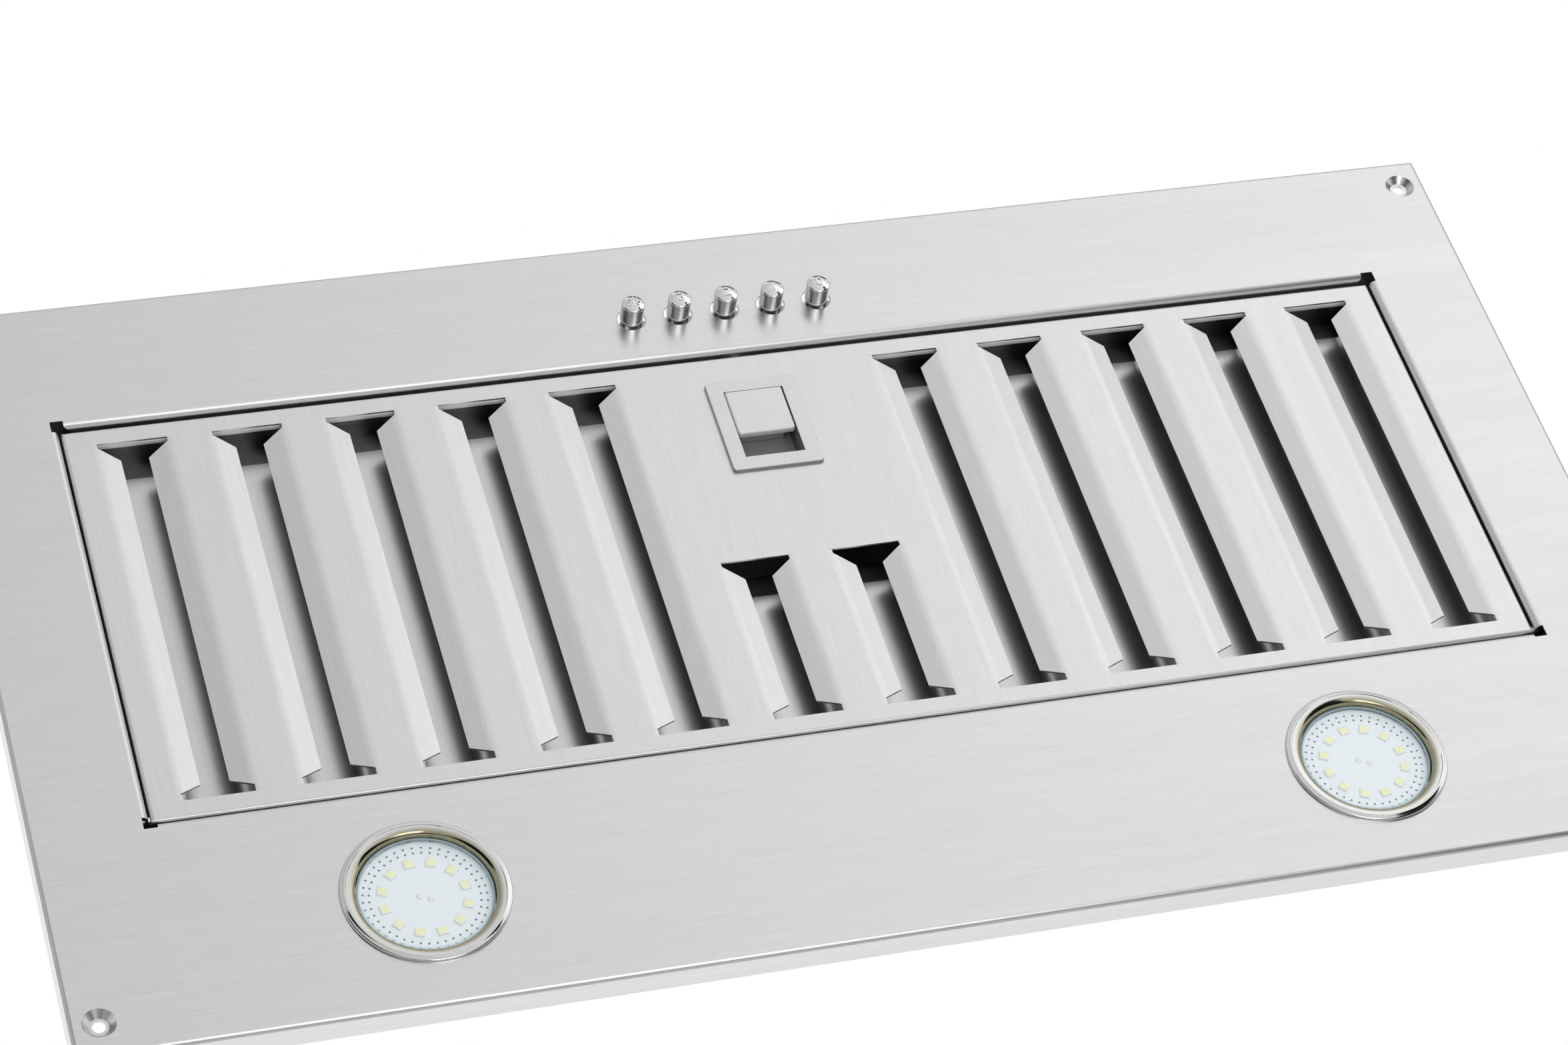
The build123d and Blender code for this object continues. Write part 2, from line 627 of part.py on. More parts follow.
# the flange round the scroll's outlet, which the collar's screws hold under the housing's top
with BuildPart() as outlet_flange:
    with BuildSketch(Plane.XY.offset(HOUSE_TOP_Z)):
        with Locations((0, COLLAR_Y)):
            Circle(COLLAR_FLANGE_R)
        with Locations(*COLLAR_SCREWS):
            Circle(TOP_SCREW_R, mode=Mode.SUBTRACT)
    extrude(amount=-SCROLL_SHEET)
    with BuildSketch(Plane.YZ):
        with BuildLine():
            scroll_outline(0)
        make_face()
    extrude(amount=SCROLL_HALF_X + SCROLL_SHEET, both=True, mode=Mode.SUBTRACT)
save(outlet_flange.part, "outlet_flange")


def inlet_ring(s):
    """A bell-mouthed ring pressed into the scroll's side hole: s is -1 on the left and 1 on the right."""
    with BuildPart() as ring:
        with BuildSketch(Plane.XZ):
            with BuildLine():
                Polyline(
                    (INLET_HOLE_R, SCROLL_HALF_X - SCROLL_SHEET),
                    (INLET_HOLE_R, SCROLL_HALF_X + SCROLL_SHEET),
                    (INLET_HOLE_R + INLET_LIP, SCROLL_HALF_X + SCROLL_SHEET),
                    (INLET_HOLE_R + INLET_LIP, SCROLL_HALF_X + 2 * SCROLL_SHEET),
                    (INLET_HOLE_R, SCROLL_HALF_X + 3 * SCROLL_SHEET),
                    (INLET_R - SCROLL_SHEET, SCROLL_HALF_X + SCROLL_SHEET),
                    (INLET_R - 2 * SCROLL_SHEET, SCROLL_HALF_X - INLET_REACH),
                    (INLET_R - SCROLL_SHEET, SCROLL_HALF_X - INLET_REACH),
                    close=True,
                )
            make_face()
        revolve(axis=Axis.Z)
    return Pos(0, AXLE_Y, AXLE_Z) * Rot(0, 90 * s, 0) * ring.part


save(inlet_ring(-1), "inlet_ring_left")
save(inlet_ring(1), "inlet_ring_right")

with BuildPart() as fan_wheel:
    with BuildSketch(Plane.YZ.offset(-WHEEL_HALF_X)):
        with Locations((AXLE_Y, AXLE_Z)):
            with PolarLocations(WHEEL_R - BLADE_DEPTH / 2 - WHEEL_EDGE, BLADE_COUNT):
                Rectangle(BLADE_DEPTH, BLADE_SHEET, rotation=BLADE_TILT)
    extrude(amount=2 * WHEEL_HALF_X)
    for x in (-WHEEL_HALF_X, WHEEL_HALF_X - WHEEL_RING_X):
        with BuildSketch(Plane.YZ.offset(x)):
            with Locations((AXLE_Y, AXLE_Z)):
                Circle(WHEEL_R)
                Circle(WHEEL_R - BLADE_DEPTH - WHEEL_EDGE, mode=Mode.SUBTRACT)
        extrude(amount=WHEEL_RING_X)
    with BuildSketch(Plane.YZ):
        with Locations((AXLE_Y, AXLE_Z)):
            Circle(WHEEL_R - 2 * WHEEL_EDGE)
    extrude(amount=WHEEL_RING_X / 2, both=True)
    with BuildSketch(Plane.YZ):
        with Locations((AXLE_Y, AXLE_Z)):
            Circle(HUB_R)
    extrude(amount=HUB_HALF_X, both=True)
    with BuildSketch(Plane.YZ):
        with Locations((AXLE_Y, AXLE_Z)):
            Circle(SHAFT_R)
    extrude(amount=HUB_HALF_X + OVERRUN, both=True, mode=Mode.SUBTRACT)
save(fan_wheel.part, "fan_wheel")

SHAFT_START_X = MOTOR_LEFT_X - NOSE_X - SHAFT_PROUD
with BuildPart() as motor_shaft:
    with BuildSketch(Plane.YZ.offset(SHAFT_START_X)):
        with Locations((AXLE_Y, AXLE_Z)):
            Circle(SHAFT_R)
    extrude(amount=SHAFT_END_X - SHAFT_START_X)
    chamfer(motor_shaft.edges().filter_by(GeomType.CIRCLE), 0.6)
save(motor_shaft.part, "motor_shaft")

with BuildPart() as motor_body:
    with BuildSketch(Plane.YZ.offset(MOTOR_LEFT_X)):
        with Locations((AXLE_Y, AXLE_Z)):
            Circle(MOTOR_R)
    extrude(amount=MOTOR_RIGHT_X - MOTOR_LEFT_X)
    chamfer(motor_body.edges().filter_by(GeomType.CIRCLE), 3)
    with BuildSketch(Plane.YZ.offset(MOTOR_LEFT_X - NOSE_X)):
        with Locations((AXLE_Y, AXLE_Z)):
            Circle(NOSE_R)
    extrude(amount=MOTOR_RIGHT_X - MOTOR_LEFT_X + 2 * NOSE_X)
    # cooling slots round the casing
    with BuildSketch(Plane.YZ.offset(MOTOR_LEFT_X + COOLING_INSET)):
        with Locations((AXLE_Y, AXLE_Z)):
            with PolarLocations(MOTOR_R, COOLING_SLOTS):
                Rectangle(2 * COOLING_DEPTH, COOLING_WIDTH)
    extrude(amount=MOTOR_RIGHT_X - MOTOR_LEFT_X - 2 * COOLING_INSET, mode=Mode.SUBTRACT)
    with BuildSketch(Plane.YZ.offset(MOTOR_LEFT_X - NOSE_X)):
        with Locations((AXLE_Y, AXLE_Z)):
            Circle(BEARING_R)
    extrude(amount=MOTOR_RIGHT_X - MOTOR_LEFT_X + 2 * NOSE_X, mode=Mode.SUBTRACT)
save(motor_body.part, "motor_body")

with BuildPart() as motor_bearings:
    for x in (MOTOR_LEFT_X - NOSE_X, MOTOR_RIGHT_X + NOSE_X - BEARING_X):
        with BuildSketch(Plane.YZ.offset(x)):
            with Locations((AXLE_Y, AXLE_Z)):
                Circle(BEARING_R)
                Circle(SHAFT_R + RUNNING, mode=Mode.SUBTRACT)
        extrude(amount=BEARING_X)
save(motor_bearings.part, "motor_bearings")

with BuildPart() as motor_bracket:
    with BuildSketch(Plane.YZ.offset(MOTOR_RIGHT_X)):
        with Locations((AXLE_Y, AXLE_Z)):
            Circle(MOTOR_R - SPIDER_INSET)
            with PolarLocations(STANDOFF_CIRCLE_R / 2, 3, start_angle=STANDOFF_DEGS[0]):
                Rectangle(STANDOFF_CIRCLE_R + SPIDER_ARM, SPIDER_ARM)
            Circle(NOSE_R, mode=Mode.SUBTRACT)
    extrude(amount=SPIDER_X)
    with BuildSketch(Plane.YZ.offset(MOTOR_RIGHT_X + SPIDER_X)):
        with Locations((AXLE_Y, AXLE_Z)):
            with PolarLocations(STANDOFF_CIRCLE_R, 3, start_angle=STANDOFF_DEGS[0]):
                Circle(STANDOFF_R)
    extrude(amount=-SCROLL_HALF_X - SCROLL_SHEET - MOTOR_RIGHT_X - SPIDER_X)
save(motor_bracket.part, "motor_bracket")

CAPACITOR_Y = HOUSE_REAR_Y - HOUSE_SHEET - CAPACITOR_R - CAPACITOR_GAP
with BuildPart() as capacitor:
    with Locations((CAPACITOR_X, CAPACITOR_Y, CAPACITOR_Z)):
        Cylinder(CAPACITOR_R, CAPACITOR_HEIGHT, align=(Align.CENTER, Align.CENTER, Align.MIN))
    fillet(capacitor.edges().filter_by(GeomType.CIRCLE), 1.5)
save(capacitor.part, "capacitor")

with BuildPart() as capacitor_clip:
    with BuildSketch(Plane.XY.offset(CAPACITOR_Z + CLIP_RISE)):
        with Locations((CAPACITOR_X, CAPACITOR_Y)):
            Circle(CAPACITOR_R + CLIP_SHEET)
        with Locations((CAPACITOR_X, HOUSE_REAR_Y - HOUSE_SHEET - CAPACITOR_GAP)):
            Rectangle(CLIP_FOOT_X, 2 * CAPACITOR_GAP)
        with Locations((CAPACITOR_X, CAPACITOR_Y)):
            Circle(CAPACITOR_R, mode=Mode.SUBTRACT)
    extrude(amount=CLIP_HEIGHT)
save(capacitor_clip.part, "capacitor_clip")

# ================================================================ junction box
BOX_TOP_Z = TOP_PLATE_Z + BOX_HEIGHT
GLAND_X = BOX_X - BOX_SIZE_X / 2
BOX_SCREWS = [(BOX_X + s * (BOX_SIZE_X / 2 - BOX_EAR / 2 - BOX_SHEET), BOX_Y) for s in (-1, 1)]
with BuildPart() as junction_box:
    with Locations((BOX_X, BOX_Y, TOP_PLATE_Z)):
        Box(BOX_SIZE_X, BOX_SIZE_Y, BOX_HEIGHT, align=(Align.CENTER, Align.CENTER, Align.MIN))
    fillet(junction_box.edges().filter_by(Axis.Z), BOX_CORNER_R)
    offset(amount=-BOX_SHEET, openings=junction_box.faces().sort_by(Axis.Z)[-1])
    with BuildSketch(Plane.XY.offset(BOX_TOP_Z)):
        with Locations(*BOX_SCREWS):
            Rectangle(BOX_EAR + BOX_SHEET, 2 * BOX_EAR)
    extrude(amount=-BOX_SHEET)
    with BuildSketch(Plane.XY.offset(BOX_TOP_Z)):
        with Locations(*BOX_SCREWS):
            Circle(TOP_SCREW_R)
    extrude(amount=-BOX_SHEET, mode=Mode.SUBTRACT)
    with BuildSketch(Plane.YZ.offset(GLAND_X)):
        with Locations((BOX_Y, GLAND_Z)):
            Circle(GLAND_THREAD_R)
    extrude(amount=BOX_SHEET, mode=Mode.SUBTRACT)
save(junction_box.part, "junction_box")

with BuildPart() as junction_cover:
    spread = TOUCH + COVER_WALL
    with BuildSketch(Plane.XY.offset(BOX_TOP_Z - COVER_LIP)):
        with Locations((BOX_X, BOX_Y)):
            RectangleRounded(BOX_SIZE_X + 2 * spread, BOX_SIZE_Y + 2 * spread, BOX_CORNER_R + spread)
    extrude(amount=COVER_LIP + COVER_SHEET)
    with BuildSketch(Plane.XY.offset(BOX_TOP_Z)):
        with Locations((BOX_X, BOX_Y)):
            RectangleRounded(BOX_SIZE_X + 2 * TOUCH, BOX_SIZE_Y + 2 * TOUCH, BOX_CORNER_R + TOUCH)
    extrude(amount=-COVER_LIP, mode=Mode.SUBTRACT)
    with BuildSketch(Plane.XY.offset(BOX_TOP_Z)):
        with Locations(*BOX_SCREWS):
            Circle(TOP_SCREW_R)
    extrude(amount=COVER_SHEET, mode=Mode.SUBTRACT)
save(junction_cover.part, "junction_cover")
save(pan_head_screws(BOX_SCREWS, BOX_TOP_Z + COVER_SHEET, TOP_SCREW_SHANK), "junction_screws")

with BuildPart() as terminal_block:
    with Locations((TERMINAL_BLOCK_X, BOX_Y, TOP_PLATE_Z + BOX_SHEET)):
        Box(*TERMINAL_BLOCK, align=(Align.CENTER, Align.CENTER, Align.MIN))
    # screw wells from above, and wire holes from side to side
    with BuildSketch(Plane.XY.offset(TOP_PLATE_Z + BOX_SHEET + TERMINAL_BLOCK[2])):
        with Locations((TERMINAL_BLOCK_X, BOX_Y)):
            with GridLocations(TERMINAL_BLOCK[0] / 2, TERMINAL_PITCH, 2, 3):
                Circle(TERMINAL_WELL_R)
    extrude(amount=-0.6 * TERMINAL_BLOCK[2], mode=Mode.SUBTRACT)
    with BuildSketch(Plane.YZ.offset(TERMINAL_BLOCK_X)):
        with Locations((BOX_Y, TOP_PLATE_Z + BOX_SHEET + TERMINAL_BLOCK[2] / 3)):
            with GridLocations(TERMINAL_PITCH, 1, 3, 1):
                Circle(TERMINAL_WIRE_R)
    extrude(amount=TERMINAL_BLOCK[0], both=True, mode=Mode.SUBTRACT)
save(terminal_block.part, "terminal_block")

with BuildPart() as cable_gland:
    with BuildSketch(Plane.YZ.offset(GLAND_X)):
        with Locations((BOX_Y, GLAND_Z)):
            RegularPolygon(GLAND_HEX_R, 6)
    extrude(amount=-GLAND_HEX_X)
    with BuildSketch(Plane.YZ.offset(GLAND_X - GLAND_HEX_X)):
        with Locations((BOX_Y, GLAND_Z)):
            Circle(GLAND_CAP_R)
    extrude(amount=-GLAND_CAP_X)
    fillet(cable_gland.faces().sort_by(Axis.X)[0].edges(), 2.5)
    with BuildSketch(Plane.YZ.offset(GLAND_X)):
        with Locations((BOX_Y, GLAND_Z)):
            Circle(GLAND_THREAD_R)
    extrude(amount=GLAND_INSIDE_X)
    with BuildSketch(Plane.YZ.offset(GLAND_X - GLAND_HEX_X - GLAND_CAP_X)):
        with Locations((BOX_Y, GLAND_Z)):
            Circle(GLAND_BORE_R)
    extrude(amount=GLAND_HEX_X + GLAND_CAP_X + GLAND_INSIDE_X, mode=Mode.SUBTRACT)
save(cable_gland.part, "cable_gland")

with BuildPart() as gland_nut:
    with BuildSketch(Plane.YZ.offset(GLAND_X + BOX_SHEET)):
        with Locations((BOX_Y, GLAND_Z)):
            RegularPolygon(GLAND_NUT_R, 6)
            Circle(GLAND_THREAD_R, mode=Mode.SUBTRACT)
    extrude(amount=GLAND_NUT_X)
save(gland_nut.part, "gland_nut")

# ================================================================ push buttons and their switch
BLOCK_Z = CAP_TOP_Z + BUTTON_TRAVEL + STEP_GAP
with BuildPart() as switch_bracket:
    with BuildSketch(Plane.XY.offset(BLOCK_Z)):
        with Locations((0, BUTTON_Y)):
            Rectangle(2 * BRACKET_HALF_X, 2 * SWITCH_HALF_Y)
    extrude(amount=-BRACKET_SHEET)
    for s in (-1, 1):
        with Locations((s * (BRACKET_HALF_X - BRACKET_SHEET / 2), BUTTON_Y, BACK_Z)):
            Box(BRACKET_SHEET, 2 * SWITCH_HALF_Y, BLOCK_Z - BACK_Z,
                align=(Align.CENTER, Align.CENTER, Align.MIN))
        with Locations((s * (BRACKET_HALF_X + BRACKET_FOOT / 2), BUTTON_Y, BACK_Z)):
            Box(BRACKET_FOOT, 2 * SWITCH_HALF_Y, BRACKET_SHEET, align=(Align.CENTER, Align.CENTER, Align.MIN))
    with BuildSketch(Plane.XY.offset(BLOCK_Z)):
        with Locations(*[(x, BUTTON_Y) for x in BUTTON_XS]):
            Circle(BUTTON_R + STEP_GAP)
    extrude(amount=-BRACKET_SHEET, mode=Mode.SUBTRACT)
    with BuildSketch(Plane.XY.offset(BACK_Z)):
        with Locations(*BRACKET_STUDS):
            Circle(STUD_R + TOUCH)
    extrude(amount=BRACKET_SHEET, mode=Mode.SUBTRACT)
save(switch_bracket.part, "switch_bracket")

with BuildPart() as switch_block:
    with Locations((0, BUTTON_Y, BLOCK_Z)):
        Box(2 * SWITCH_HALF_X, 2 * SWITCH_HALF_Y, SWITCH_TOP_Z - BLOCK_Z,
            align=(Align.CENTER, Align.CENTER, Align.MIN))
    fillet(switch_block.edges().filter_by(Axis.Z), 1.5)
    with BuildSketch(Plane.XY.offset(BLOCK_Z)):
        with Locations(*[(x, BUTTON_Y) for x in BUTTON_XS]):
            Circle(STEM_R + RUNNING)
    extrude(amount=SWITCH_BORE_TOP_Z - BLOCK_Z, mode=Mode.SUBTRACT)
    # a pair of blade terminals over each button
    with BuildSketch(Plane.XY.offset(SWITCH_TOP_Z)):
        with Locations(*[(x, BUTTON_Y + s * TERMINAL_GAP / 2) for x in BUTTON_XS for s in (-1, 1)]):
            Rectangle(TERMINAL_X, TERMINAL_Y)
    extrude(amount=TERMINAL_HEIGHT)
save(switch_block.part, "switch_block")

TIP_Z = FACE_Z - BUTTON_PROUD
for button_name, x in zip(BUTTON_NAMES, BUTTON_XS):
    with BuildPart() as button:
        with BuildSketch(Plane.XY.offset(TIP_Z + BUTTON_DOME)):
            with Locations((x, BUTTON_Y)):
                Circle(BUTTON_R)
        extrude(amount=CAP_TOP_Z - TIP_Z - BUTTON_DOME)
        with BuildSketch(Plane.XY.offset(CAP_TOP_Z)):
            with Locations((x, BUTTON_Y)):
                Circle(STEM_R)
        extrude(amount=STEM_TOP_Z - CAP_TOP_Z)
        dome_r = (BUTTON_R**2 + BUTTON_DOME**2) / (2 * BUTTON_DOME)
        dome_deg = degrees(asin(BUTTON_R / dome_r))
        with Locations(Location((x, BUTTON_Y, TIP_Z + dome_r), (180, 0, 0))):
            Sphere(dome_r, arc_size1=90 - dome_deg, arc_size2=90)
    save(button.part, f"button_{button_name}")
    with BuildPart() as button_spring:
        with BuildSketch(Plane.XY.offset(STEM_TOP_Z)):
            with Locations((x, BUTTON_Y)):
                Circle(STEM_R - TOUCH)
                Circle(STEM_R - TOUCH - SPRING_WALL, mode=Mode.SUBTRACT)
        extrude(amount=SWITCH_BORE_TOP_Z - STEM_TOP_Z)
    save(button_spring.part, f"button_spring_{button_name}")

# ================================================================ filter
SLOT_XS = [(i - (SLOT_COUNT - 1) / 2) * SLOT_PITCH for i in range(SLOT_COUNT)]
SLOTS = [(x, SHORT_SLOT_FRONT_Y if i in SHORT_SLOTS else SLOT_FRONT_Y) for i, x in enumerate(SLOT_XS)]
STRIP_FRONT_Z = FILTER_Z + STRIP_DEPTH
STRIP_BACK_Z = STRIP_FRONT_Z + FILTER_SHEET
FRAME_TOP_Z = STRIP_BACK_Z + FILTER_SHEET
FILTER_HEIGHT = FRAME_TOP_Z - FILTER_Z
FRAME_HALF_X = FILTER_HALF_X - FILTER_SHEET - FRAME_FIT
FRAME_Y = FILTER_Y - 2 * (FILTER_SHEET + FRAME_FIT)
FRAME_FRONT_Z = FILTER_Z + FILTER_SHEET
FRAME_WINDOW_X = SLOT_XS[-1] + SLOT_X / 2 + STRIP_CLEARANCE
WINDOW_Y = SLOT_REAR_Y - SLOT_FRONT_Y
WINDOW_MID_Y = (SLOT_REAR_Y + SLOT_FRONT_Y) / 2
WALL_REACH = 2 * FILTER_SHEET
PAN_HALF_X = WINDOW_HALF_X + PAN_WALL
PAN_FRONT_Y = WINDOW_FRONT_Y - PAN_WALL
PAN_REAR_Y = WINDOW_REAR_Y + PAN_WALL
FLAP_ANGLE = atan2(FLAP_DEPTH, (SLOT_X - FLAP_GAP) / 2)
BEND_RUN = FLAP_BEND * tan(FLAP_ANGLE / 2)

with BuildSketch(Plane.XY) as flap_pair:
    # a slot's two flaps in section: the soft bend, then the flat slope down to the gap
    with BuildLine():
        bend_x = SLOT_X / 2 + BEND_RUN
        lean_x, lean_z = cos(FLAP_ANGLE), sin(FLAP_ANGLE)
        outer_bend = CenterArc((bend_x, FLAP_BEND), FLAP_BEND, -90, -degrees(FLAP_ANGLE))
        inner_bend = CenterArc((bend_x, FLAP_BEND), FLAP_BEND - FILTER_SHEET, -90, -degrees(FLAP_ANGLE))
        edge = (FLAP_GAP / 2, FLAP_DEPTH)
        inner_edge = (edge[0] + FILTER_SHEET * lean_z, edge[1] + FILTER_SHEET * lean_x)
        Polyline(outer_bend @ 1, edge, inner_edge, inner_bend @ 1)
        Line(outer_bend @ 0, inner_bend @ 0)
    make_face()
    mirror(about=Plane.YZ)

with BuildPart() as filter_face:
    with Locations((0, FILTER_MID_Y, FILTER_Z)):
        Box(2 * FILTER_HALF_X, FILTER_Y, FILTER_HEIGHT, align=(Align.CENTER, Align.CENTER, Align.MIN))
    fillet(filter_face.faces().sort_by(Axis.Z)[0].edges(), FILTER_BEND)
    offset(amount=-FILTER_SHEET, openings=filter_face.faces().sort_by(Axis.Z)[-1])
    with BuildSketch(Plane.XY.offset(FILTER_Z)):
        for x, front_y in SLOTS:
            with Locations((x, (front_y + SLOT_REAR_Y) / 2)):
                Rectangle(2 * bend_x, SLOT_REAR_Y - front_y)
        with Locations((0, (PAN_FRONT_Y + PAN_REAR_Y) / 2)):
            Rectangle(2 * PAN_HALF_X, PAN_REAR_Y - PAN_FRONT_Y)
    extrude(amount=FILTER_SHEET, mode=Mode.SUBTRACT)
    # flaps along both sides of every slot, then the gap between them, which widens towards its ends
    for x, front_y in SLOTS:
        with BuildSketch(Plane(origin=(x, front_y, FILTER_Z), x_dir=(1, 0, 0), z_dir=(0, -1, 0))):
            add(flap_pair.sketch)
        extrude(amount=front_y - SLOT_REAR_Y)
    with BuildSketch(Plane.XY.offset(FILTER_Z - OVERRUN)):
        for x, front_y in SLOTS:
            with BuildLine():
                right_side = [
                    (SLOT_X / 2, front_y),
                    (SLOT_X / 2, front_y + FLAP_FRONT_CUT[0]),
                    (FLAP_GAP / 2, front_y + FLAP_FRONT_CUT[1]),
                    (FLAP_GAP / 2, SLOT_REAR_Y - FLAP_REAR_CUT[1]),
                    (SLOT_X / 2, SLOT_REAR_Y - FLAP_REAR_CUT[0]),
                    (SLOT_X / 2, SLOT_REAR_Y),
                ]
                left_side = [(-u, y) for u, y in reversed(right_side)]
                Polyline(*[(x + u, y) for u, y in right_side + left_side], close=True)
            make_face()
    extrude(amount=OVERRUN + FILTER_SHEET + 2 * FLAP_DEPTH, mode=Mode.SUBTRACT)
    # holes for the hinge pins and the bolt
    with BuildSketch(Plane.YZ):
        with Locations((PIVOT_Y, PIVOT_Z)):
            Circle(PIN_R)
    extrude(amount=FILTER_HALF_X + OVERRUN, both=True, mode=Mode.SUBTRACT)
    with BuildSketch(Plane.XZ.offset(-FILTER_FRONT_Y)):
        with Locations((0, BOLT_Z)):
            Circle(BOLT_R + TOUCH)
    extrude(amount=OVERRUN, both=True, mode=Mode.SUBTRACT)
save(filter_face.part, "filter_face")

with BuildPart() as filter_frame:
    with BuildSketch(Plane.XY.offset(FRAME_FRONT_Z)):
        with Locations((0, FILTER_MID_Y)):
            Rectangle(2 * FRAME_HALF_X, FRAME_Y)
    extrude(amount=FRAME_TOP_Z - FRAME_FRONT_Z)
    fillet(filter_frame.faces().sort_by(Axis.Z)[0].edges(), FILTER_BEND - FILTER_SHEET)
    with BuildSketch(Plane.XY.offset(FRAME_FRONT_Z + FILTER_SHEET)):
        with Locations((0, FILTER_MID_Y)):
            Rectangle(2 * (FRAME_HALF_X - FILTER_SHEET), FRAME_Y - 2 * FILTER_SHEET)
    extrude(amount=FRAME_TOP_Z - FRAME_FRONT_Z - 2 * FILTER_SHEET, mode=Mode.SUBTRACT)
    # an inner wall round the slots, with a rounded hem, a band and a groove at its front
    for low, high, inset in (
        (0, HEM_HEIGHT, 0),
        (HEM_HEIGHT, HEM_HEIGHT + HEM_BAND, TOUCH / 2),
        (HEM_HEIGHT + HEM_BAND, HEM_HEIGHT + HEM_BAND + HEM_GROOVE, HEM_GROOVE_DEPTH),
        (HEM_HEIGHT + HEM_BAND + HEM_GROOVE, FRAME_TOP_Z - FRAME_FRONT_Z, TOUCH),
    ):
        with BuildSketch(Plane.XY.offset(FRAME_FRONT_Z + low)):
            with Locations((0, WINDOW_MID_Y)):
                Rectangle(2 * (FRAME_WINDOW_X + WALL_REACH), WINDOW_Y + 2 * WALL_REACH)
                Rectangle(2 * (FRAME_WINDOW_X + inset), WINDOW_Y + 2 * inset, mode=Mode.SUBTRACT)
        extrude(amount=high - low)
    with BuildSketch(Plane.XY.offset(FRAME_FRONT_Z)):
        with Locations((0, WINDOW_MID_Y)):
            Rectangle(2 * FRAME_WINDOW_X, WINDOW_Y)
    extrude(amount=FILTER_SHEET, mode=Mode.SUBTRACT)
    hem_edges = (
        filter_frame.edges()
        .filter_by(lambda e: abs(e.center().X) < FRAME_WINDOW_X + 0.01)
        .filter_by(lambda e: abs(e.center().Y - WINDOW_MID_Y) < WINDOW_Y / 2 + 0.01)
        .filter_by(lambda e: abs(e.center().Z - FRAME_FRONT_Z) < 0.01)
    )
    fillet(hem_edges, HEM_HEIGHT / 2)
    with BuildSketch(Plane.XY.offset(FRAME_TOP_Z - FILTER_SHEET)):
        with Locations((0, FILTER_MID_Y)):
            Rectangle(2 * (FRAME_HALF_X - FRAME_BACK_FLANGE), FRAME_Y - 2 * FRAME_BACK_FLANGE)
    extrude(amount=FILTER_SHEET, mode=Mode.SUBTRACT)
    # a passage for the latch bolt and its spring
    with Locations((0, SLOT_FRONT_Y, FRAME_FRONT_Z + FILTER_SHEET)):
        Box(LATCH_PASSAGE_X, 4 * WALL_REACH, LATCH_PASSAGE_X, align=(Align.CENTER, Align.CENTER, Align.MIN),
            mode=Mode.SUBTRACT)
    with BuildSketch(Plane.YZ):
        with Locations((PIVOT_Y, PIVOT_Z)):
            Circle(PIN_R)
    extrude(amount=FILTER_HALF_X + OVERRUN, both=True, mode=Mode.SUBTRACT)
    with BuildSketch(Plane.XZ.offset(-FILTER_FRONT_Y)):
        with Locations((0, BOLT_Z)):
            Circle(BOLT_R + TOUCH)
    extrude(amount=OVERRUN, both=True, mode=Mode.SUBTRACT)
save(filter_frame.part, "filter_frame")

STRIP_REAR_Y = SLOT_REAR_Y - TOUCH
with BuildPart() as filter_back:
    for x, front_y in SLOTS:
        strip_front_y = front_y + STRIP_SETBACK
        with BuildSketch(Plane.XZ.offset(-STRIP_REAR_Y)):
            with Locations((x, STRIP_BACK_Z - STRIP_Y)):
                RectangleRounded(STRIP_X, 2 * STRIP_Y, STRIP_BEND)
                RectangleRounded(STRIP_X - 2 * FILTER_SHEET, 2 * (STRIP_Y - FILTER_SHEET),
                                 STRIP_BEND - FILTER_SHEET, mode=Mode.SUBTRACT)
            with Locations((x, STRIP_BACK_Z - 1.5 * STRIP_Y)):
                Rectangle(STRIP_X + 2, STRIP_Y, mode=Mode.SUBTRACT)
        extrude(amount=STRIP_REAR_Y - strip_front_y)
save(filter_back.part, "filter_back")

# the bar that carries the free ends of the short strips
with BuildPart() as filter_crossbar:
    with BuildSketch(Plane.XY.offset(STRIP_BACK_Z)):
        with Locations((0, SHORT_SLOT_FRONT_Y + STRIP_SETBACK + CROSSBAR_Y / 2)):
            Rectangle(3 * SLOT_PITCH + STRIP_X - 2 * STRIP_BEND, CROSSBAR_Y)
    extrude(amount=FILTER_SHEET)
save(filter_crossbar.part, "filter_crossbar")

with BuildPart() as filter_pins:
    for s in (-1, 1):
        inner_x = s * (FRAME_HALF_X - FILTER_SHEET)
        with BuildSketch(Plane.YZ.offset(inner_x)):
            with Locations((PIVOT_Y, PIVOT_Z)):
                Circle(PIN_R)
        extrude(amount=s * (OPENING_HALF_X + SHEET + PIN_HEAD - abs(inner_x)))
        with BuildSketch(Plane.YZ.offset(inner_x)):
            with Locations((PIVOT_Y, PIVOT_Z)):
                Circle(PIN_R - TOUCH)
        extrude(amount=-s * PIN_HEAD)
save(filter_pins.part, "filter_pins")

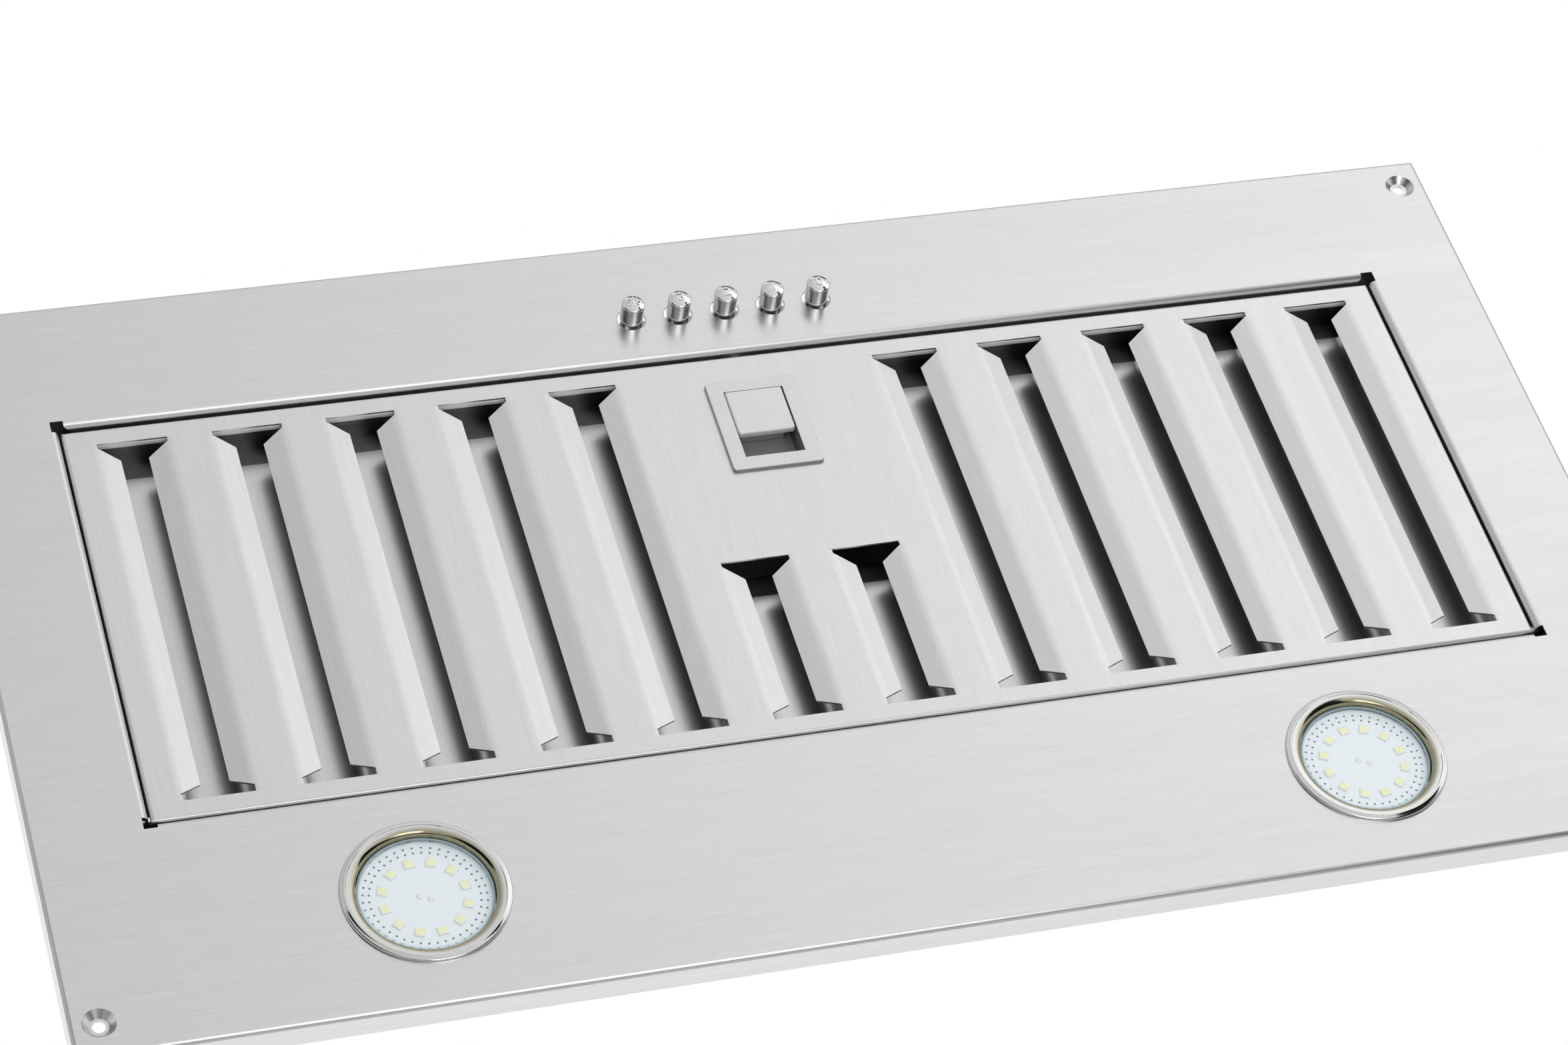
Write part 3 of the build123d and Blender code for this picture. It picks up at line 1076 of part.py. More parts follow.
# ================================================================ latch
BEZEL_Z = FILTER_Z - BEZEL_PROUD
PAN_INNER_Z = FILTER_Z + PAN_DEPTH
PAN_TOP_Z = PAN_INNER_Z + PAN_ROOF
LATCH_CLIP_FRONT_Y = PAN_FRONT_Y - LATCH_TRAVEL - LATCH_SPRING_SOLID - LATCH_CLIP_SHEET
with BuildPart() as latch_bezel:
    with BuildSketch(Plane.XY.offset(BEZEL_Z)):
        with Locations((0, (BEZEL_FRONT_Y + BEZEL_REAR_Y) / 2)):
            RectangleRounded(2 * BEZEL_HALF_X, BEZEL_REAR_Y - BEZEL_FRONT_Y, 1.5)
    extrude(amount=BEZEL_PROUD)
    fillet(latch_bezel.faces().sort_by(Axis.Z)[0].edges(), 0.5)
    with BuildSketch(Plane.XY.offset(FILTER_Z)):
        with Locations((0, (PAN_FRONT_Y + PAN_REAR_Y) / 2)):
            Rectangle(2 * PAN_HALF_X, PAN_REAR_Y - PAN_FRONT_Y)
    extrude(amount=PAN_TOP_Z - FILTER_Z)
    # the window, with a scoop for the finger at its rear end
    with BuildSketch(Plane.YZ):
        with BuildLine():
            scoop_y = WINDOW_REAR_Y - SCOOP_R
            scoop_z = PAN_INNER_Z - SCOOP_R
            Polyline(
                (scoop_y, PAN_INNER_Z),
                (WINDOW_FRONT_Y, PAN_INNER_Z),
                (WINDOW_FRONT_Y, BEZEL_Z - OVERRUN),
                (WINDOW_REAR_Y, BEZEL_Z - OVERRUN),
                (WINDOW_REAR_Y, scoop_z),
            )
            CenterArc((scoop_y, scoop_z), SCOOP_R, 0, 90)
        make_face()
    extrude(amount=WINDOW_HALF_X, both=True, mode=Mode.SUBTRACT)
    with BuildSketch(Plane.XZ.offset(-PAN_FRONT_Y)):
        with Locations((0, BOLT_Z)):
            Circle(BOLT_R + RUNNING)
    extrude(amount=PAN_WALL + TOUCH, both=True, mode=Mode.SUBTRACT)
save(latch_bezel.part, "latch_bezel")

PADDLE_HALF_X = WINDOW_HALF_X - TOUCH
PADDLE_FRONT_Y = WINDOW_FRONT_Y + TOUCH
BLOCK_FRONT_Y = WINDOW_FRONT_Y + 3.0
BLOCK_REAR_Y = PADDLE_REAR_Y - 4.0
BOLT_TIP_Y = OPENING_FRONT_Y + TOUCH
with BuildPart() as latch_slide:
    with BuildSketch(Plane.XY.offset(BEZEL_Z)):
        with Locations((0, (PADDLE_FRONT_Y + PADDLE_REAR_Y) / 2)):
            Rectangle(2 * PADDLE_HALF_X, PADDLE_REAR_Y - PADDLE_FRONT_Y)
    extrude(amount=PADDLE_Z)
    fillet(latch_slide.edges().filter_by(Axis.Z).group_by(Axis.Y)[-1], 1.5)
    fillet(latch_slide.faces().sort_by(Axis.Z)[0].edges().group_by(Axis.Y)[-1], 1.2)
    with BuildSketch(Plane.XY.offset(BEZEL_Z + PADDLE_Z)):
        with Locations((0, (BLOCK_FRONT_Y + BLOCK_REAR_Y) / 2)):
            Rectangle(LATCH_BLOCK_X, BLOCK_REAR_Y - BLOCK_FRONT_Y)
    extrude(amount=PAN_INNER_Z - TOUCH - BEZEL_Z - PADDLE_Z)
    with BuildSketch(Plane.XZ.offset(-BLOCK_FRONT_Y)):
        with Locations((0, BOLT_Z)):
            Circle(BOLT_R)
    extrude(amount=BLOCK_FRONT_Y - BOLT_TIP_Y)
    with BuildSketch(Plane.XZ.offset(-LATCH_CLIP_FRONT_Y)):
        with Locations((0, BOLT_Z)):
            Circle(LATCH_CLIP_R)
    extrude(amount=-LATCH_CLIP_SHEET)
save(latch_slide.part, "latch_slide")

with BuildPart() as latch_spring:
    with BuildSketch(Plane.XZ.offset(-PAN_FRONT_Y)):
        with Locations((0, BOLT_Z)):
            Circle(LATCH_CLIP_R - TOUCH)
            Circle(BOLT_R + TOUCH, mode=Mode.SUBTRACT)
    extrude(amount=PAN_FRONT_Y - LATCH_CLIP_FRONT_Y - LATCH_CLIP_SHEET)
save(latch_spring.part, "latch_spring")

# ================================================================ lamps
GLASS_FRONT_Z = FACE_Z + 0.6
GLASS_BACK_Z = GLASS_FRONT_Z + GLASS_Z
LED_FRONT_Z = GLASS_BACK_Z + 0.4
BOARD_FRONT_Z = LED_FRONT_Z + LED_Z
BOARD_BACK_Z = BOARD_FRONT_Z + BOARD_Z
LAMP_WALL = 0.9
LAMP_BODY_R = GLASS_R
LAMP_TAPER_Z = 20.0
LAMP_NECK_Z = 36.0
LAMP_NECK_R = 13.5
LAMP_END_Z = 45.0
HOLDER_TOP_Z = 57.0
SLEEVE_TOP_Z = 6.0


def lamp_ring():
    """The trim ring: a stepped lip on the fascia and a sleeve that goes up through the hole."""
    with BuildPart() as ring:
        with BuildSketch(Plane.XZ):
            with BuildLine():
                Polyline(
                    (LAMP_RING_R, FACE_Z),
                    (LAMP_RING_R, FACE_Z - 0.7),
                    (LAMP_RING_R - 1.0, FACE_Z - 1.6),
                    (LAMP_RING_R - 3.2, FACE_Z - 1.8),
                    (LAMP_RING_R - 4.6, FACE_Z - 1.0),
                    (GLASS_R + 0.4, FACE_Z + 0.2),
                    (GLASS_R + 0.4, SLEEVE_TOP_Z),
                    (LAMP_SLEEVE_R, SLEEVE_TOP_Z),
                    (LAMP_SLEEVE_R, FACE_Z),
                    close=True,
                )
            make_face()
        revolve(axis=Axis.Z)
    return ring.part


def lamp_glass():
    """The front glass, chamfered all round."""
    with BuildPart() as glass:
        with Locations((0, 0, GLASS_FRONT_Z)):
            Cylinder(GLASS_R, GLASS_Z, align=(Align.CENTER, Align.CENTER, Align.MIN))
        chamfer(glass.faces().sort_by(Axis.Z)[0].edges(), 0.8)
    return glass.part


def lamp_board():
    """The round circuit board that the LEDs sit on."""
    with BuildPart() as board:
        with Locations((0, 0, BOARD_FRONT_Z)):
            Cylinder(GLASS_R - LAMP_WALL, BOARD_Z, align=(Align.CENTER, Align.CENTER, Align.MIN))
    return board.part


def lamp_leds():
    """A ring of LEDs, and two solder beads in the middle."""
    with BuildPart() as leds:
        with BuildSketch(Plane.XY.offset(BOARD_FRONT_Z)):
            with PolarLocations(LED_CIRCLE_R, LED_COUNT, start_angle=LED_START_DEG):
                Rectangle(LED_X, LED_Y)
            with PolarLocations(1.8, 2, start_angle=-30):
                Circle(0.9)
        extrude(amount=-LED_Z)
    return leds.part


def lamp_body():
    """The lamp's case: a cup for the board, then a cone down to the neck."""
    with BuildPart() as body:
        with BuildSketch(Plane.XZ):
            with BuildLine():
                Polyline(
                    (0, BOARD_BACK_Z),
                    (GLASS_R - LAMP_WALL, BOARD_BACK_Z),
                    (GLASS_R - LAMP_WALL, GLASS_BACK_Z),
                    (LAMP_BODY_R, GLASS_BACK_Z),
                    (LAMP_BODY_R, LAMP_TAPER_Z),
                    (LAMP_NECK_R, LAMP_NECK_Z),
                    (LAMP_NECK_R, LAMP_END_Z),
                    (0, LAMP_END_Z),
                    close=True,
                )
            make_face()
        revolve(axis=Axis.Z)
    return body.part


LAMP_PIECES = {
    "lamp_ring": lamp_ring(),
    "lamp_glass": lamp_glass(),
    "lamp_board": lamp_board(),
    "lamp_leds": lamp_leds(),
    "lamp_body": lamp_body(),
}
for side, s in (("left", -1), ("right", 1)):
    for piece_name, piece in LAMP_PIECES.items():
        save(Pos(s * LAMP_X, LAMP_Y, 0) * piece, f"{piece_name}_{side}")

LAMP_CENTRES = [(s * LAMP_X, LAMP_Y) for s in (-1, 1)]
with BuildPart() as lamp_holders:
    with BuildSketch(Plane.XY.offset(LAMP_END_Z)):
        with Locations(*LAMP_CENTRES):
            Circle(LAMP_NECK_R)
    extrude(amount=HOLDER_TOP_Z - LAMP_END_Z)
    fillet(lamp_holders.faces().sort_by(Axis.Z)[-2:].edges(), 2)
save(lamp_holders.part, "lamp_holders")

CLIP_HALF_Y = 5.0
with BuildPart() as clip:
    with BuildSketch(Plane.XZ):
        with BuildLine():
            Polyline(
                (LAMP_SLEEVE_R, SLEEVE_TOP_Z),
                (LAMP_SLEEVE_R + 1.0, SLEEVE_TOP_Z),
                (LAMP_SLEEVE_R + 8.5, BACK_Z + 1.0),
                (LAMP_SLEEVE_R + 11.0, BACK_Z + 1.4),
                (LAMP_SLEEVE_R + 11.0, BACK_Z + 0.6),
                (LAMP_SLEEVE_R + 8.5, BACK_Z),
                (LAMP_SLEEVE_R + 0.6, SLEEVE_TOP_Z - 1.4),
                (LAMP_SLEEVE_R + 0.6, SLEEVE_TOP_Z - 4.0),
                (LAMP_SLEEVE_R, SLEEVE_TOP_Z - 4.0),
                close=True,
            )
        make_face()
    extrude(amount=CLIP_HALF_Y, both=True)

with BuildPart() as lamp_clips:
    for centre_x, centre_y in LAMP_CENTRES:
        with Locations(
            Location((centre_x, centre_y, 0), (0, 0, 0)),
            Location((centre_x, centre_y, 0), (0, 0, 180)),
        ):
            add(clip.part)
save(lamp_clips.part, "lamp_clips")
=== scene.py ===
# %% [markdown]
# Range hood insert, dressed in Blender.
#
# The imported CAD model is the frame: it already holds every sheet, screw and motor in its right place, in
# metres. This script gives each of those parts its finish, remodels the small pieces that a close look goes
# to (the push buttons, the lamps and the springs), and sets up the camera, the floor and the light.
#
# The insert is drawn as it hangs under a kitchen cabinet: its fascia faces down, and the camera looks up.

# %% Load the frame
import json
from math import atan2, cos, pi, radians, sin

import bpy
from mathutils import Matrix, Vector


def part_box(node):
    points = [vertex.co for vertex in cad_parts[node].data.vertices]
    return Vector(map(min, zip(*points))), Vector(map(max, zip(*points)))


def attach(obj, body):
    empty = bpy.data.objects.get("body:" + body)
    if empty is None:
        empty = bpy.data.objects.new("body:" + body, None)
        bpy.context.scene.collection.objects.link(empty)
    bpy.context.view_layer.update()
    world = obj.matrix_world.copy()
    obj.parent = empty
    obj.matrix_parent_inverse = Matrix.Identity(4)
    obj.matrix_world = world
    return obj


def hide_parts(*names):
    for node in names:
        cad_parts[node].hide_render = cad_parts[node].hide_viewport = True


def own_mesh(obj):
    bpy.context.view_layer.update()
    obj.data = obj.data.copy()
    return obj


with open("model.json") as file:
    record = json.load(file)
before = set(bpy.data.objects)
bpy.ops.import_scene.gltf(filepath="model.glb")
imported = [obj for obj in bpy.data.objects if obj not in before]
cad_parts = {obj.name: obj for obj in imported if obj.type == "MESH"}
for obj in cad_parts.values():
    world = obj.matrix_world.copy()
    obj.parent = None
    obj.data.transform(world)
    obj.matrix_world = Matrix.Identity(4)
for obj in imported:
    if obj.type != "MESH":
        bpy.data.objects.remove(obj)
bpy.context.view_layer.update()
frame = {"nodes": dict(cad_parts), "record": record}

MM = 0.001
nodes = frame["nodes"]

# %% [markdown]
# The camera. A photograph's viewpoint can be found by moving a camera about until the picture fits, or worked
# out from straight edges that are parallel on the real object. The second is exact, and here the fascia's
# four sides and the filter's slots give it. The camera stands below the panel, a little to the left and at
# the lamps' side, and is turned upside down, so that the lamps are at the bottom of the picture.

# %% Camera
CAMERA_PLACE = Vector((-0.4986, 1.0906, -1.3509))
CAMERA_RIGHT = Vector((0.95515763, 0.26685172, -0.12831238))
CAMERA_UP = Vector((0.11952047, -0.74394217, -0.65746856))
CAMERA_LENS = 106.98
SENSOR_WIDTH = 36.0
NEAREST_SEEN = 0.05
FARTHEST_SEEN = 60

camera_data = bpy.data.cameras.new("camera")
camera_data.lens = CAMERA_LENS
camera_data.sensor_width = SENSOR_WIDTH
camera_data.clip_start = NEAREST_SEEN
camera_data.clip_end = FARTHEST_SEEN
camera = bpy.data.objects.new("camera", camera_data)
camera_back = CAMERA_RIGHT.cross(CAMERA_UP)
camera.matrix_world = Matrix.Translation(CAMERA_PLACE) @ Matrix(
    (CAMERA_RIGHT, CAMERA_UP, camera_back)
).transposed().to_4x4()
bpy.context.scene.collection.objects.link(camera)
bpy.context.scene.camera = camera
bpy.context.scene.view_settings.view_transform = "Standard"
print("camera to fascia:", round(CAMERA_PLACE.length, 3), "m")

# %% [markdown]
# Node helpers. A material is a tree of small nodes, and a few of them come up again and again: a calculation
# with one or two values, a value moved from one range into another, a colour multiplied by a second one, and
# one part of a place or of a direction. They could be written out each time. A short function for each lets a
# finish read as what it does.

# %% Node helpers
def value_node(tree, operation, *values):
    """A math node whose inputs are numbers or other nodes' outputs."""
    node = tree.nodes.new("ShaderNodeMath")
    node.operation = operation
    for socket, value in zip(node.inputs, values):
        if isinstance(value, (int, float)):
            socket.default_value = value
        else:
            tree.links.new(value, socket)
    return node.outputs[0]


def ranged(tree, source, from_low, from_high, to_low, to_high):
    """The source's value, moved from one range into another and held inside it."""
    change = tree.nodes.new("ShaderNodeMapRange")
    change.inputs["From Min"].default_value = from_low
    change.inputs["From Max"].default_value = from_high
    change.inputs["To Min"].default_value = to_low
    change.inputs["To Max"].default_value = to_high
    tree.links.new(source, change.inputs["Value"])
    return change.outputs["Result"]


def multiplied(tree, colour, factor):
    """A colour, written or linked, times a value or colour that changes over the surface."""
    mix = tree.nodes.new("ShaderNodeMix")
    mix.data_type = "RGBA"
    mix.blend_type = "MULTIPLY"
    mix.inputs["Factor"].default_value = 1.0
    if isinstance(colour, tuple):
        mix.inputs["A"].default_value = (*colour, 1)
    else:
        tree.links.new(colour, mix.inputs["A"])
    tree.links.new(factor, mix.inputs["B"])
    return mix.outputs["Result"]


def vector_part(tree, vector, axis):
    """One part, X, Y or Z, of a place or direction."""
    parts = tree.nodes.new("ShaderNodeSeparateXYZ")
    tree.links.new(vector, parts.inputs[0])
    return parts.outputs[axis]


def object_part(tree, axis):
    """One part of a point's place on the object."""
    place = tree.nodes.new("ShaderNodeTexCoord")
    return vector_part(tree, place.outputs["Object"], axis)


def facing_part(tree, axis):
    """One part of the direction that the surface faces."""
    surface = tree.nodes.new("ShaderNodeNewGeometry")
    return vector_part(tree, surface.outputs["Normal"], axis)


print("node helpers: value_node, ranged, multiplied, vector_part, object_part, facing_part")

# %% [markdown]
# The floor. A photographer's white table would do for it: a wide sheet of pale matt paint. But lit by soft
# lamps alone it would turn grey, and more light would bleach the object. So every ray that looks at it, from
# the camera, from polished metal or through glass, is shown mostly plain white. The rest of what the ray sees
# is the lit paint, which keeps the object's shadow.

# %% Floor
FLOOR_Z = -1.6
FLOOR_SIZE = 30.0
PALE_GREY = 0.8
WHITE_SHARE = 0.8


def clear_selection():
    """Leave edit mode and select nothing, because an operator acts on all that is selected."""
    if bpy.context.object and bpy.context.object.mode != "OBJECT":
        bpy.ops.object.mode_set(mode="OBJECT")
    bpy.ops.object.select_all(action="DESELECT")


def matt_paint(name, grey):
    """Grey paint without any gloss."""
    paint = bpy.data.materials.new(name)
    paint.use_nodes = True
    shader = paint.node_tree.nodes["Principled BSDF"]
    shader.inputs["Base Color"].default_value = (grey, grey, grey, 1)
    shader.inputs["Roughness"].default_value = 1.0
    shader.inputs["Specular IOR Level"].default_value = 0.0
    return paint


def seen_rays(tree):
    """1 for rays that look at a surface, straight or by way of metal or glass, and 0 for the rest."""
    rays = tree.nodes.new("ShaderNodeLightPath")
    mirrored = value_node(tree, "MAXIMUM", rays.outputs["Is Glossy Ray"], rays.outputs["Is Transmission Ray"])
    return value_node(tree, "MAXIMUM", rays.outputs["Is Camera Ray"], mirrored)


clear_selection()
bpy.ops.mesh.primitive_plane_add(size=FLOOR_SIZE, location=(0, 0, FLOOR_Z))
floor = bpy.context.object
floor.name = "floor"
bpy.ops.object.transform_apply(location=True, rotation=False, scale=False)

floor_paint = matt_paint("floor_paint", PALE_GREY)
tree = floor_paint.node_tree
white = tree.nodes.new("ShaderNodeEmission")
blend = tree.nodes.new("ShaderNodeMixShader")
tree.links.new(value_node(tree, "MULTIPLY", seen_rays(tree), WHITE_SHARE), blend.inputs[0])
tree.links.new(tree.nodes["Principled BSDF"].outputs[0], blend.inputs[1])
tree.links.new(white.outputs[0], blend.inputs[2])
tree.links.new(blend.outputs[0], tree.nodes["Material Output"].inputs["Surface"])
floor.data.materials.append(floor_paint)
print("floor", FLOOR_SIZE, "m wide at", FLOOR_Z, "m")

# %% [markdown]
# The room's light. A picture of a room would light the insert too, but plain metal needs only a plain world.
# A white one alone would flatten it, and a dim one would turn the background grey. So the world is asked what
# kind of ray looks at it: the camera, polished metal and glass see the same plain white, while matt surfaces
# get a dimmer, even light that leaves room for the lamps.

# %% World
EVEN_LIGHT = (0.55, 0.55, 0.555, 1)

world = bpy.data.worlds.new("studio")
bpy.context.scene.world = world
world.use_nodes = True
tree = world.node_tree
tree.nodes.clear()
backdrop = tree.nodes.new("ShaderNodeBackground")
backdrop.inputs["Color"].default_value = (1, 1, 1, 1)
even_room = tree.nodes.new("ShaderNodeBackground")
even_room.inputs["Color"].default_value = EVEN_LIGHT
blend = tree.nodes.new("ShaderNodeMixShader")
world_out = tree.nodes.new("ShaderNodeOutputWorld")
tree.links.new(seen_rays(tree), blend.inputs[0])
tree.links.new(even_room.outputs[0], blend.inputs[1])
tree.links.new(backdrop.outputs[0], blend.inputs[2])
tree.links.new(blend.outputs[0], world_out.inputs["Surface"])
print("world: white to look at, and", EVEN_LIGHT[0], "as light")

# %% [markdown]
# Lamps. Brushed steel shows little of its own colour: its tones are those of what it mirrors. The floor lamp
# makes a pool of light at the right, on the pale card of the next step. The panel mirrors that card, so it
# gets brighter from left to right. A painted gradient could do that, but a lamp lights all else in a way that
# fits. The room lamp, from above, lights the matt parts, and two weak lamps near the floor fill the shadows
# under the panel and set a highlight on the buttons. All are large, for the soft edges of studio light.

# %% Lamps
POOL_PLACE = (2.0, -1.3)


def soft_lamp(name, place, target, width, depth, watts, mirrored=True):
    """A large square lamp that the camera doesn't see, turned to its target."""
    lamp = bpy.data.lights.new(name, "AREA")
    lamp.shape = "RECTANGLE"
    lamp.size = width
    lamp.size_y = depth
    lamp.energy = watts
    holder = bpy.data.objects.new(name, lamp)
    holder.location = place
    holder.rotation_euler = (Vector(target) - Vector(place)).to_track_quat("-Z", "Y").to_euler()
    holder.visible_camera = False
    holder.visible_glossy = mirrored
    bpy.context.scene.collection.objects.link(holder)
    print(name, watts, "W")


# name, place, target, width and depth in metres, watts
soft_lamp("floor_lamp", (*POOL_PLACE, 0.6), (*POOL_PLACE, FLOOR_Z), 1.2, 1.2, 59, mirrored=False)
soft_lamp("room_lamp", (-2.6, 2.0, 2.2), (0, 0, 0), 2.0, 2.0, 24, mirrored=False)
soft_lamp("fill_lamp", (0.0, 0.6, -1.5), (0, 0, 0), 1.4, 1.4, 7, mirrored=False)
soft_lamp("low_lamp", (0.2, 1.0, -1.5), (0.2, 1.0, 0), 0.7, 1.0, 4)

# %% [markdown]
# Cards. Polished metal looks like metal only where it mirrors something dark beside something light, and
# photographers lay black cards next to chrome for that. Three lie on the floor here, out of the panel's own
# mirror image, where the buttons and the lamp rings pick them up. A wide pale card under them catches the
# lamp's pool, because a floor of even white would leave the panel without its change from left to right. Only
# mirroring rays see the cards, so they neither show in the picture nor dim the light.

# %% Cards
BLACK_GREY = 0.01
PALE_CARD_LIFT = 0.005
BLACK_CARD_LIFT = 0.01


def mirror_only(card):
    """Leave a card to glossy rays alone, because it is there to be mirrored."""
    card.visible_camera = False
    card.visible_diffuse = False
    card.visible_transmission = False
    card.visible_shadow = False


black_paint = matt_paint("black_card", BLACK_GREY)
pale_paint = matt_paint("pale_card", PALE_GREY)
# name, middle, width and depth, height above the floor, paint
for card_name, card_place, card_size, lift, paint in (
    ("pale_card", (0, 0), (9.0, 9.0), PALE_CARD_LIFT, pale_paint),
    ("black_card_right", (2.0, 0.7), (2.2, 2.0), BLACK_CARD_LIFT, black_paint),
    ("black_card_left", (-1.9, 0.2), (2.1, 2.1), BLACK_CARD_LIFT, black_paint),
    ("black_card_near", (0.3, 2.5), (4.0, 1.6), BLACK_CARD_LIFT, black_paint),
):
    clear_selection()
    bpy.ops.mesh.primitive_plane_add(size=1, location=(*card_place, FLOOR_Z + lift))
    card = bpy.context.object
    card.name = card_name
    card.scale = (*card_size, 1)
    bpy.ops.object.transform_apply(location=True, rotation=False, scale=True)
    card.data.materials.append(paint)
    mirror_only(card)
    print(card_name, card_size, "m")

# %% [markdown]
# The horizon card. In a real room, upright metal mirrors dim walls below a bright ceiling. The world could be
# darkened near the horizon, but then the background would darken with it. A tall round card at the studio's
# edge does it without: it is dim at the horizon and white at its top, where it meets the white world.

# %% Horizon card
HORIZON_R = 14.0
HORIZON_SIDES = 64
HORIZON_LOW_Z = 0.28
HORIZON_TOP_Z = 6.48
HORIZON_DIM = 0.16

clear_selection()
bpy.ops.mesh.primitive_circle_add(
    vertices=HORIZON_SIDES, radius=HORIZON_R, fill_type="NOTHING", location=(0, 0, FLOOR_Z)
)
horizon = bpy.context.object
horizon.name = "horizon_card"
bpy.ops.object.transform_apply(location=True, rotation=False, scale=False)
bpy.ops.object.mode_set(mode="EDIT")
bpy.ops.mesh.select_all(action="SELECT")
bpy.ops.mesh.extrude_region_move(TRANSFORM_OT_translate={"value": (0, 0, HORIZON_TOP_Z - FLOOR_Z)})
bpy.ops.object.mode_set(mode="OBJECT")
mirror_only(horizon)

horizon_finish = bpy.data.materials.new("horizon_card")
horizon_finish.use_nodes = True
tree = horizon_finish.node_tree
tree.nodes.remove(tree.nodes["Principled BSDF"])
glow = tree.nodes.new("ShaderNodeEmission")
climb = ranged(tree, object_part(tree, "Z"), HORIZON_LOW_Z, HORIZON_TOP_Z, HORIZON_DIM, 1.0)
tree.links.new(climb, glow.inputs["Color"])
tree.links.new(glow.outputs[0], tree.nodes["Material Output"].inputs["Surface"])
horizon_finish.cycles.emission_sampling = "NONE"
horizon.data.materials.append(horizon_finish)
print("horizon card", HORIZON_R, "m away, up to", HORIZON_TOP_Z, "m")

# %% [markdown]
# Shared patterns. The grinding lines of brushed steel, the fine speckle of a cast or moulded surface and the
# crystals of galvanised sheet each come up in several materials. Each could be rebuilt in every one of them.
# As a node group it is built once: it takes coordinates, gives plain masks, and every material mixes them in
# its own strength.

# %% Shared patterns
EVEN_NOISE = 0.6


def new_group(name, outputs):
    """A shader node group with one vector input and the named value outputs."""
    group = bpy.data.node_groups.new(name, "ShaderNodeTree")
    group.interface.new_socket("Vector", in_out="INPUT", socket_type="NodeSocketVector")
    for output in outputs:
        group.interface.new_socket(output, in_out="OUTPUT", socket_type="NodeSocketFloat")
    start = group.nodes.new("NodeGroupInput")
    end = group.nodes.new("NodeGroupOutput")
    return group, start, end


def noise_to(group, start, end, output, scale, detail, roughness):
    """Send a noise of the given size to one of the group's outputs."""
    noise = group.nodes.new("ShaderNodeTexNoise")
    noise.inputs["Scale"].default_value = scale
    noise.inputs["Detail"].default_value = detail
    noise.inputs["Roughness"].default_value = roughness
    group.links.new(start.outputs["Vector"], noise.inputs["Vector"])
    group.links.new(noise.outputs["Fac"], end.inputs[output])


# the numbers are each noise's scale, detail and roughness
grinding_lines, start, end = new_group("grinding_lines", ("Line", "Band"))
noise_to(grinding_lines, start, end, "Line", 1.0, 3.0, 0.75)
noise_to(grinding_lines, start, end, "Band", 0.06, 2.0, EVEN_NOISE)

cast_speckle, start, end = new_group("cast_speckle", ("Grain", "Patch"))
noise_to(cast_speckle, start, end, "Grain", 1.0, 2.0, 0.7)
noise_to(cast_speckle, start, end, "Patch", 0.04, 3.0, EVEN_NOISE)

zinc_spangle, start, end = new_group("zinc_spangle", ("Crystal", "Frost"))
crystals = zinc_spangle.nodes.new("ShaderNodeTexVoronoi")
crystals.inputs["Scale"].default_value = 1.0
crystals.inputs["Randomness"].default_value = 1.0
crystal_tone = zinc_spangle.nodes.new("ShaderNodeSeparateColor")
zinc_spangle.links.new(start.outputs["Vector"], crystals.inputs["Vector"])
zinc_spangle.links.new(crystals.outputs["Color"], crystal_tone.inputs[0])
zinc_spangle.links.new(crystal_tone.outputs[0], end.inputs["Crystal"])
noise_to(zinc_spangle, start, end, "Frost", 4.0, 3.0, EVEN_NOISE)
print("shared patterns:", [group.name for group in bpy.data.node_groups])

# %% [markdown]
# Finish helpers. Every finish starts from the same shader and adds a pattern, an uneven gloss and a fine
# relief. The patterns read the object's own coordinates in metres and not an unwrapped map, so a grain has
# the same real size on a large sheet and on a small screw, and needs no seams.

# %% Finish helpers
NOISE_LOW = 0.3
NOISE_HIGH = 0.7


def new_finish(name, colour, metallic, roughness):
    """A material with its tree and its Principled shader."""
    finish = bpy.data.materials.new(name)
    finish.use_nodes = True
    finish.diffuse_color = (*colour, 1)
    shader = finish.node_tree.nodes["Principled BSDF"]
    shader.inputs["Base Color"].default_value = (*colour, 1)
    shader.inputs["Metallic"].default_value = metallic
    shader.inputs["Roughness"].default_value = roughness
    return finish, finish.node_tree, shader


def pattern(tree, group, stretch):
    """A shared pattern on object coordinates that are stretched by the given factors."""
    place = tree.nodes.new("ShaderNodeTexCoord")
    mapping = tree.nodes.new("ShaderNodeMapping")
    mapping.inputs["Scale"].default_value = stretch
    node = tree.nodes.new("ShaderNodeGroup")
    node.node_tree = group
    tree.links.new(place.outputs["Object"], mapping.inputs["Vector"])
    tree.links.new(mapping.outputs["Vector"], node.inputs["Vector"])
    return node


def spread(tree, noise, low, high):
    """A noise, most of which lies between 0.3 and 0.7, as a value from low to high."""
    return ranged(tree, noise, NOISE_LOW, NOISE_HIGH, low, high)


def bump(tree, shader, height_value, depth):
    """Relief of the given depth in metres."""
    relief = tree.nodes.new("ShaderNodeBump")
    relief.inputs["Distance"].default_value = depth
    relief.inputs["Strength"].default_value = 1.0
    tree.links.new(height_value, relief.inputs["Height"])
    tree.links.new(relief.outputs["Normal"], shader.inputs["Normal"])


finishes = {}
print("finish helpers: new_finish, pattern, spread, bump")

# %% [markdown]
# Brushed stainless steel. A belt grinder leaves fine parallel scratches, so the metal blurs its reflections
# across them far more than along them. A picture of scratches would show its edges and its size. Here the
# shader's anisotropy gives the blur, and the scratches themselves are noise that is stretched along the
# belt's way. The fascia is ground along X and the filter along Y, which is why the filter stands out from the
# panel although both are the same steel.

